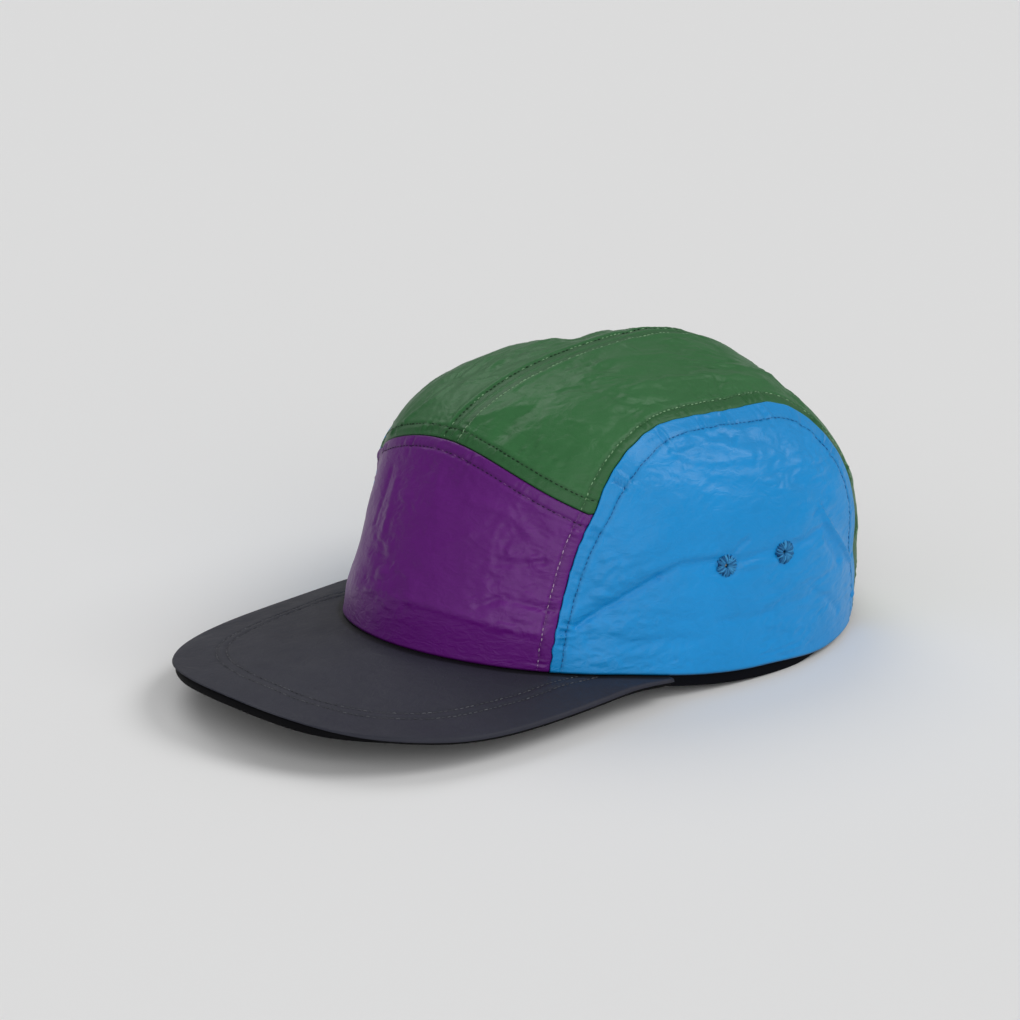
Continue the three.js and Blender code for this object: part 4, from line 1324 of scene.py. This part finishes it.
# %% [markdown]
# The peak is a stiff board in smooth cloth. From above its edge is half of a superellipse, and its
# surface passes from the rim's height to an arched curve of its own. The upper cloth rolls round the
# edge, two rows of tone-on-tone stitches follow it, and the under layer is a plain black cloth.

# %% Peak
PEAK_SPREAD = math.radians(54)
PEAK_SIDE_POWER, PEAK_FRONT_POWER = 2.15, 4.4
PEAK_DROOP, PEAK_EASE = 1.9 * MM, 16 * MM
PEAK_TOP_WALL, PEAK_UNDER_WALL = 1.4 * MM, 1.4 * MM
# The outer row's distance from the edge in mm, at even shares from the right end of the peak to the
# left one, and the distance between the rows
PEAK_ROW, PEAK_ROW_PITCH = (16.5, 14.5, 12.5), 3.5 * MM
# At the front the black under layer reaches the edge, and the upper cloth is folded over less of it. The
# black lip that shows there is partly the lining's own black and partly painted shade: a dark band in place
# of the shadow under the raised front.
FRONT_INSET, END_INSET, FRONT_WRAP = 0.2 * MM, 1.7 * MM, 0.5 * MM
# Where that black lip ends and how far it takes to fade, as shares of the peak, and how low it hangs
LIP_END, LIP_FADE, LIP_DROP = 0.1, 0.2, 0.9 * MM
# Where along the peak its edge stands higher: middle and spread as shares, and height. Each lift fades
# over the reach inwards from the edge.
EDGE_LIFTS = [(0.0, 0.15, 0.5 * MM), (0.31, 0.13, 1.0 * MM), (-0.5, 0.2, 0.5 * MM)]
LIFT_REACH = 18 * MM
# Depth of the peak's row grooves, the painted shade in them, and how far from the root the painted shade
# under the crown's hem stays full
PEAK_GROOVE, PEAK_GROOVE_SHADE, ROOT_SHADE_FROM = 0.2 * MM, 0.32, 2.6 * MM
# Pale flecks on the peak's thread, partly painted highlights where stitches catch the light
PEAK_FLECK = linear((98, 100, 106))


def peak_edge(share):
    """The peak's edge from above, from one end to the other: a superellipse whose steps are evened out
    by a power of the turn."""
    turn = np.sign(share) * (np.pi / 2) * (1 - (1 - np.abs(share)) ** (PEAK_FRONT_POWER / 2))
    end = rim_point(np.array(PEAK_SPREAD))
    length = end[1] - (FRONT_Y - PEAK_REACH)
    x = PEAK_WIDTH / 2 * np.sign(turn) * np.abs(np.sin(turn)) ** (2 / PEAK_SIDE_POWER)
    return np.stack([x, end[1] - length * np.abs(np.cos(turn)) ** (2 / PEAK_FRONT_POWER)], -1)


def peak_grid(share, inset, v):
    """The peak's upper surface from under the front rim to the edge, at shares v of the way."""
    rim = rim_point(share * PEAK_SPREAD)
    root = rim - crown_normal(rim * np.array([1, 1, 0])) * CLOTH_WALL
    edge = peak_edge(share)
    width = np.linalg.norm(edge - root[:, :2], axis=1)
    reach = v * ((width - inset) / width)[:, None]
    flat = root[:, None, :2] + (edge - root[:, :2])[:, None] * reach[..., None]
    curve = (BAND_DROP + FRONT_RISE - camber_drop(flat[..., 0])
             - PEAK_DROOP * (FRONT_Y - flat[..., 1]) / PEAK_REACH)
    clear = reach * width[:, None] - CLOTH_WALL - SEAM_GAP
    start = (rim[:, 2] - SEAM_GAP)[:, None]
    z = start + (curve - start) * smooth(clear / PEAK_EASE)
    lift = sum(height * np.exp(-((share - middle) / spread) ** 2) for middle, spread, height in EDGE_LIFTS)
    z += lift[:, None] * smooth(1 - (1 - reach) * width[:, None] / LIFT_REACH)
    return np.concatenate([flat, z[..., None]], -1), width


def lip(share, away):
    """How far the front's black lip is there: 1 at the edge round the front, and 0 past its ends or
    5 mm in from the edge. Also how far the share lies within the front."""
    front = 1 - smooth((np.abs(share) - LIP_END) / LIP_FADE)[:, None]
    return front * (1 - smooth((away - 1.5 * MM) / (3.5 * MM))), front


def peak_top(share):
    """The upper layer: a groove at each row, a low ridge between them, a faint unevenness and a rolled
    edge, over a wall that thins to the front's short wrap."""
    v = graded(70 * MM, low=False, scale=1.2)
    top, width = peak_grid(share, 0, v)
    away, along = to_line(top, resampled(top[:, -1], 2 * MM))
    past = away - at_shares(PEAK_ROW, along / along.max())
    relief = 0.1 * MM * np.exp(-((past - PEAK_ROW_PITCH / 2) / (1.2 * MM)) ** 2)
    grooves = np.exp(-(past / GROOVE_SPREAD) ** 2) + np.exp(-((past - PEAK_ROW_PITCH) / GROOVE_SPREAD) ** 2)
    root = v * width[:, None]
    fade = smooth(away / (6 * MM)) * smooth(root / (8 * MM))
    relief += fade * (0.12 * MM * ripple(top, 30 * MM, 5) + 0.03 * MM * crumple(top, 9 * MM, 6, 0.5))
    near, front = lip(share, away)
    wall = PEAK_TOP_WALL - (PEAK_TOP_WALL - FRONT_WRAP) * near
    outer, inner = top.copy(), top.copy()
    outer[..., 2] += relief - PEAK_GROOVE * grooves - roll_depth(away, 1.1 * MM - 0.65 * MM * front)
    inner[..., 2] -= wall - roll_depth(away, 0.3 * MM - 0.1 * MM * front)
    # Painted shade in the row grooves and in the gap under the crown's hem
    deep = HEM_SHADE * np.exp(-(np.maximum(0, root - ROOT_SHADE_FROM) / HEM_SHADE_REACH) ** 2)
    shade = np.maximum(PEAK_GROOVE_SHADE * grooves, deep)
    marks = {"strip": np.zeros(2 * away.size), "shade": np.tile(shade.ravel(), 2)}
    points, triangles = wall_mesh(outer, inner)
    new_piece("peak_top_cloth", points, triangles, PEAK_CLOTH, doubled(top[..., 0], top[..., 1]), marks,
              replaces=["peak_top"], slot="nylon_charcoal")
    normals = unit(np.cross(np.gradient(outer, axis=0), np.gradient(outer, axis=1)))
    normals *= np.sign(normals[..., 2:])
    rows = [crossing(outer[:, ::-1], normals[:, ::-1], past[:, ::-1] - step)
            for step in (0, PEAK_ROW_PITCH)]
    sew("peak_stitches", [Row(*row, PEAK_THREAD, PEAK_FLECK, 0.4, 0.8, 0.15 * MM) for row in rows],
        "nylon_charcoal")


def peak_under(share):
    """The under layer: plain cloth under the upper one, thicker where the upper one thins."""
    v = graded(70 * MM, low=False, scale=2.5)
    inset = END_INSET + (FRONT_INSET - END_INSET) * (1 - smooth((np.abs(share) - LIP_END) / LIP_FADE))
    under, _ = peak_grid(share, inset, v)
    away, _ = to_line(under, resampled(under[:, -1], 2 * MM))
    near, front = lip(share, away)
    high = PEAK_TOP_WALL - (PEAK_TOP_WALL - FRONT_WRAP) * near + SEAM_GAP
    upper, lower = under.copy(), under.copy()
    upper[..., 2] -= high + roll_depth(away, 0.25 * MM)
    lower[..., 2] -= (PEAK_TOP_WALL + SEAM_GAP + PEAK_UNDER_WALL + LIP_DROP * near
                      - roll_depth(away, 0.9 * MM))
    marks = {"strip": np.zeros(2 * away.size), "shade": np.zeros(2 * away.size)}
    points, triangles = wall_mesh(upper, lower)
    new_piece("peak_underside_cloth", points, triangles, LINING_CLOTH,
              doubled(under[..., 0], under[..., 1]), marks,
              replaces=["peak_underside"], slot="peak_lining")


peak_top(np.linspace(-1, 1, 241))
peak_under(np.linspace(-1, 1, 181))

# %% [markdown]
# The sweatband and the strap are profiles carried along the inside of the crown. The sweatband's
# lower edge is folded cloth, so its profile is a thin wall with a rounded roll at the bottom, which
# shows under the rim. The strap is woven webbing with a rounded selvedge.

# %% Sweatband and strap
BAND_HEIGHT, BAND_WALL, BAND_GAP = 30 * MM, 1.6 * MM, 0.6 * MM
BAND_SWELL, BAND_ROLL = 0.2 * MM, 6 * MM
# How far the band's lower edge is drawn up and in left of the opening, and between which degrees round
# from the front that grows and fades
BAND_TUCK = 1.5 * MM
TUCK_GROWS, TUCK_FADES = (92, 114), (150, 162)
STRAP_HEIGHT, STRAP_WALL, STRAP_LIFT = 20 * MM, 1.4 * MM, 3 * MM


def rounded_profile(height, wall, bulge, roll):
    """A closed profile as depth and height: straight sides, round top, and a round lower edge that
    swells outwards by the bulge over the height of the roll."""
    turn = np.linspace(0, np.pi, 9)
    side = np.linspace(0, 1, 24)[1:-1]
    z_down = height - wall / 2 - side * (height - wall)
    half = wall / 2
    over = np.stack([half - half * np.cos(turn[::-1]), height - half + half * np.sin(turn)], -1)
    outer_side = np.stack([0 * z_down, z_down], -1)
    below = np.stack([half - half * np.cos(turn), half - half * np.sin(turn)], -1)
    inner_side = np.stack([0 * z_down + wall, z_down[::-1]], -1)
    profile = np.concatenate([over, outer_side, below, inner_side])
    swell = smooth(1 - profile[:, 1] / roll) * (1 - profile[:, 0] / wall)
    profile[:, 0] -= bulge * swell
    return profile


def carried(profile, angles, lift):
    """The profile carried along the inside of the crown. Its depth is measured inwards from the
    cloth's inner face, and its height from the hem, which rises with the rim."""
    rim = rim_point(angles)
    z = rim[:, 2] - BAND_DROP + lift
    normal = crown_normal(rim * np.array([1, 1, 0]))
    height = profile[:, 1]
    steep = np.clip((z[:, None] + height) - rim[:, 2:], 0, None)
    rays = np.stack([0 * steep, APEX_Y + 0 * steep, z[:, None] + height], -1)
    way = np.stack([np.sin(angles), -np.cos(angles), 0 * angles], -1)[:, None]
    face = crown_hit(rays, way)
    folds = fold_height(face) + np.minimum(front_bulge(face), 0)
    inward = normal[:, None] * (folds - CLOTH_WALL - BAND_GAP - profile[:, 0])[..., None]
    turn = np.degrees(angles)
    grows, fades = ((turn - start) / (end - start) for start, end in (TUCK_GROWS, TUCK_FADES))
    tuck = smooth(grows) * (1 - smooth(fades))
    low = tuck[:, None] * (1 - height / height.max())
    return face + inward + (BAND_TUCK * low)[..., None] * (np.array([0, 0, 1.0]) - 0.6 * normal[:, None])


def band_piece(name, profile, angles, lift, material, **facts):
    """A closed loop of profile points swept from end to end, with a fan over each end."""
    grid = carried(profile, angles, lift)
    stations, around = grid.shape[:2]
    index = np.arange(stations * around).reshape(stations, around)
    after = np.roll(index, -1, 1)
    quads = np.stack([index[:-1], index[1:], after[1:], after[:-1]], -1).reshape(-1, 4)
    triangles = [quads[:, [0, 1, 2]], quads[:, [0, 2, 3]]]
    points = np.concatenate([grid.reshape(-1, 3), grid[0].mean(0)[None], grid[-1].mean(0)[None]])
    total = stations * around
    triangles.append(np.stack([index[0], after[0], np.full(around, total)], -1))
    triangles.append(np.stack([after[-1], index[-1], np.full(around, total + 1)], -1))
    run = np.concatenate([[0], np.cumsum(np.linalg.norm(np.diff(grid[:, 0], axis=0), axis=1))])
    up = np.concatenate([[0], np.cumsum(np.linalg.norm(np.diff(profile, axis=0), axis=1))])
    uv = np.stack([np.repeat(run, around), np.tile(up, stations)], -1)
    uv = np.concatenate([uv, uv[:1], uv[-1:]])
    marks = {"strip": np.zeros(total + 2), "shade": np.zeros(total + 2)}
    return new_piece(name, points, np.concatenate(triangles), material, uv, marks, **facts)


def opening_angle(x):
    """Angle round from the front at which the rim at the back lies at an x."""
    point = front_point(x, 0.0, BEHIND)
    return float(np.arctan2(point[0], APEX_Y - point[1]))


band_end = opening_angle(OPENING_WIDTH / 2)
band_piece("sweatband_cloth", rounded_profile(BAND_HEIGHT, BAND_WALL, BAND_SWELL, BAND_ROLL),
           np.linspace(-band_end, band_end, 341), 0.0, BAND_CLOTH,
           replaces=["sweatband"], slot="sweatband_cloth")
strap_end = opening_angle(OPENING_WIDTH / 2 - SEAM_GAP)
WEBBING = cloth("webbing_black", linear((16, 16, 19)), rough=0.7, crinkle=0.05, sheen=0.0, weave=0.9,
                threads=900.0)
band_piece("back_strap_webbing", rounded_profile(STRAP_HEIGHT, STRAP_WALL, 0.0, STRAP_HEIGHT),
           np.linspace(strap_end, 2 * np.pi - strap_end, 101), STRAP_LIFT, WEBBING,
           replaces=["back_strap"], slot="strap_webbing")

# %% [markdown]
# The buckle's CAD form is right, but moulded plastic has no sharp edges. A copy of its mesh is merged,
# its flat faces are joined again, and a bevel rounds every edge.

# %% Buckle
def buckle():
    """A copy of the CAD frame with merged points, whole flat faces and round edges."""
    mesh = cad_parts["strap_buckle"].data.copy()
    shape = bmesh.new()
    shape.from_mesh(mesh)
    bmesh.ops.remove_doubles(shape, verts=shape.verts, dist=0.001 * MM)
    bmesh.ops.dissolve_limit(shape, angle_limit=math.radians(1), verts=shape.verts, edges=shape.edges)
    bmesh.ops.bevel(shape, geom=shape.edges[:], offset=0.55 * MM, segments=4, profile=0.5, affect="EDGES",
                    clamp_overlap=True)
    bmesh.ops.triangulate(shape, faces=shape.faces[:])
    shape.to_mesh(mesh)
    shape.free()
    mesh.name = "strap_buckle_plastic"
    mesh.materials.clear()
    mesh.materials.append(PLASTIC)
    mesh.polygons.foreach_set("use_smooth", np.ones(len(mesh.polygons), bool))
    piece = bpy.data.objects.new("strap_buckle_plastic", mesh)
    bpy.context.scene.collection.objects.link(piece)
    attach(piece, "root")
    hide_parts("strap_buckle")
    print("strap_buckle_plastic:", len(mesh.polygons), "triangles")


buckle()

# %% [markdown]
# The picture is taken on a plain pale floor in soft light from all round. Four broad lights model the
# folds: a low one beside the camera, one behind on each side, and a weak one in front. Each is wide,
# so that its shadows stay soft. The camera stands where the photograph was taken from.

# %% Floor, light and camera
VIEW_TURN, VIEW_RISE = math.radians(46.619), math.radians(19.316)
VIEW_DISTANCE = 1484.07 * MM
LOOK_AT = np.array([-11.81, 4.54, 46.85]) * MM
LENS, SENSOR_WIDTH = 150.2, 36
FLOOR_HALF, FLOOR_TONE = 12.0, 0.82
WORLD_STRENGTH = 0.32
# Name, angle round from the front and above the floor in degrees, strength, and size in degrees
LIGHTS = [
    ("key_light", 62, 23, 1.2, 60),
    ("rear_light", 136, 46, 1.0, 30),
    ("left_light", -110, 50, 0.65, 36),
    ("front_light", 10, 40, 0.22, 60),
]


def floor():
    """A level matt square under the cap, in one pale tone."""
    corners = [(-FLOOR_HALF, -FLOOR_HALF, 0), (FLOOR_HALF, -FLOOR_HALF, 0),
               (FLOOR_HALF, FLOOR_HALF, 0), (-FLOOR_HALF, FLOOR_HALF, 0)]
    mesh = bpy.data.meshes.new("floor")
    mesh.from_pydata(corners, [], [(0, 1, 2, 3)])
    material, _, shader, _ = bare_material("pale_floor")
    shader.inputs["Base Color"].default_value = (FLOOR_TONE, FLOOR_TONE, FLOOR_TONE, 1)
    shader.inputs["Roughness"].default_value = 0.9
    shader.inputs["Specular IOR Level"].default_value = 0.1
    mesh.materials.append(material)
    made = bpy.data.objects.new("floor", mesh)
    bpy.context.scene.collection.objects.link(made)


def sun(name, turn, rise, strength, size):
    """A broad light from an angle round the cap and above it. Its size in degrees softens shadows."""
    lamp = bpy.data.lights.new(name, "SUN")
    lamp.energy = strength
    lamp.angle = math.radians(size)
    made = bpy.data.objects.new(name, lamp)
    bpy.context.scene.collection.objects.link(made)
    made.rotation_euler = (math.radians(90 - rise), 0, math.radians(turn))


def camera():
    """The camera at its angle round the cap and above it, aimed at the point in the picture's middle."""
    back = np.array([math.sin(VIEW_TURN) * math.cos(VIEW_RISE),
                     -math.cos(VIEW_TURN) * math.cos(VIEW_RISE), math.sin(VIEW_RISE)])
    lens = bpy.data.cameras.new("camera")
    lens.lens = LENS
    lens.sensor_width = SENSOR_WIDTH
    made = bpy.data.objects.new("camera", lens)
    bpy.context.scene.collection.objects.link(made)
    made.location = LOOK_AT + VIEW_DISTANCE * back
    made.rotation_euler = (math.pi / 2 - VIEW_RISE, 0, VIEW_TURN)
    bpy.context.scene.camera = made
    print("Camera in mm:", [round(1000 * value, 1) for value in made.location])


floor()
camera()
world = bpy.data.worlds.new("soft_light")
world.use_nodes = True
background = world.node_tree.nodes["Background"]
background.inputs["Color"].default_value = (0.9, 0.9, 0.9, 1)
background.inputs["Strength"].default_value = WORLD_STRENGTH
bpy.context.scene.world = world
for light in LIGHTS:
    sun(*light)
bpy.context.scene.view_settings.view_transform = "Standard"
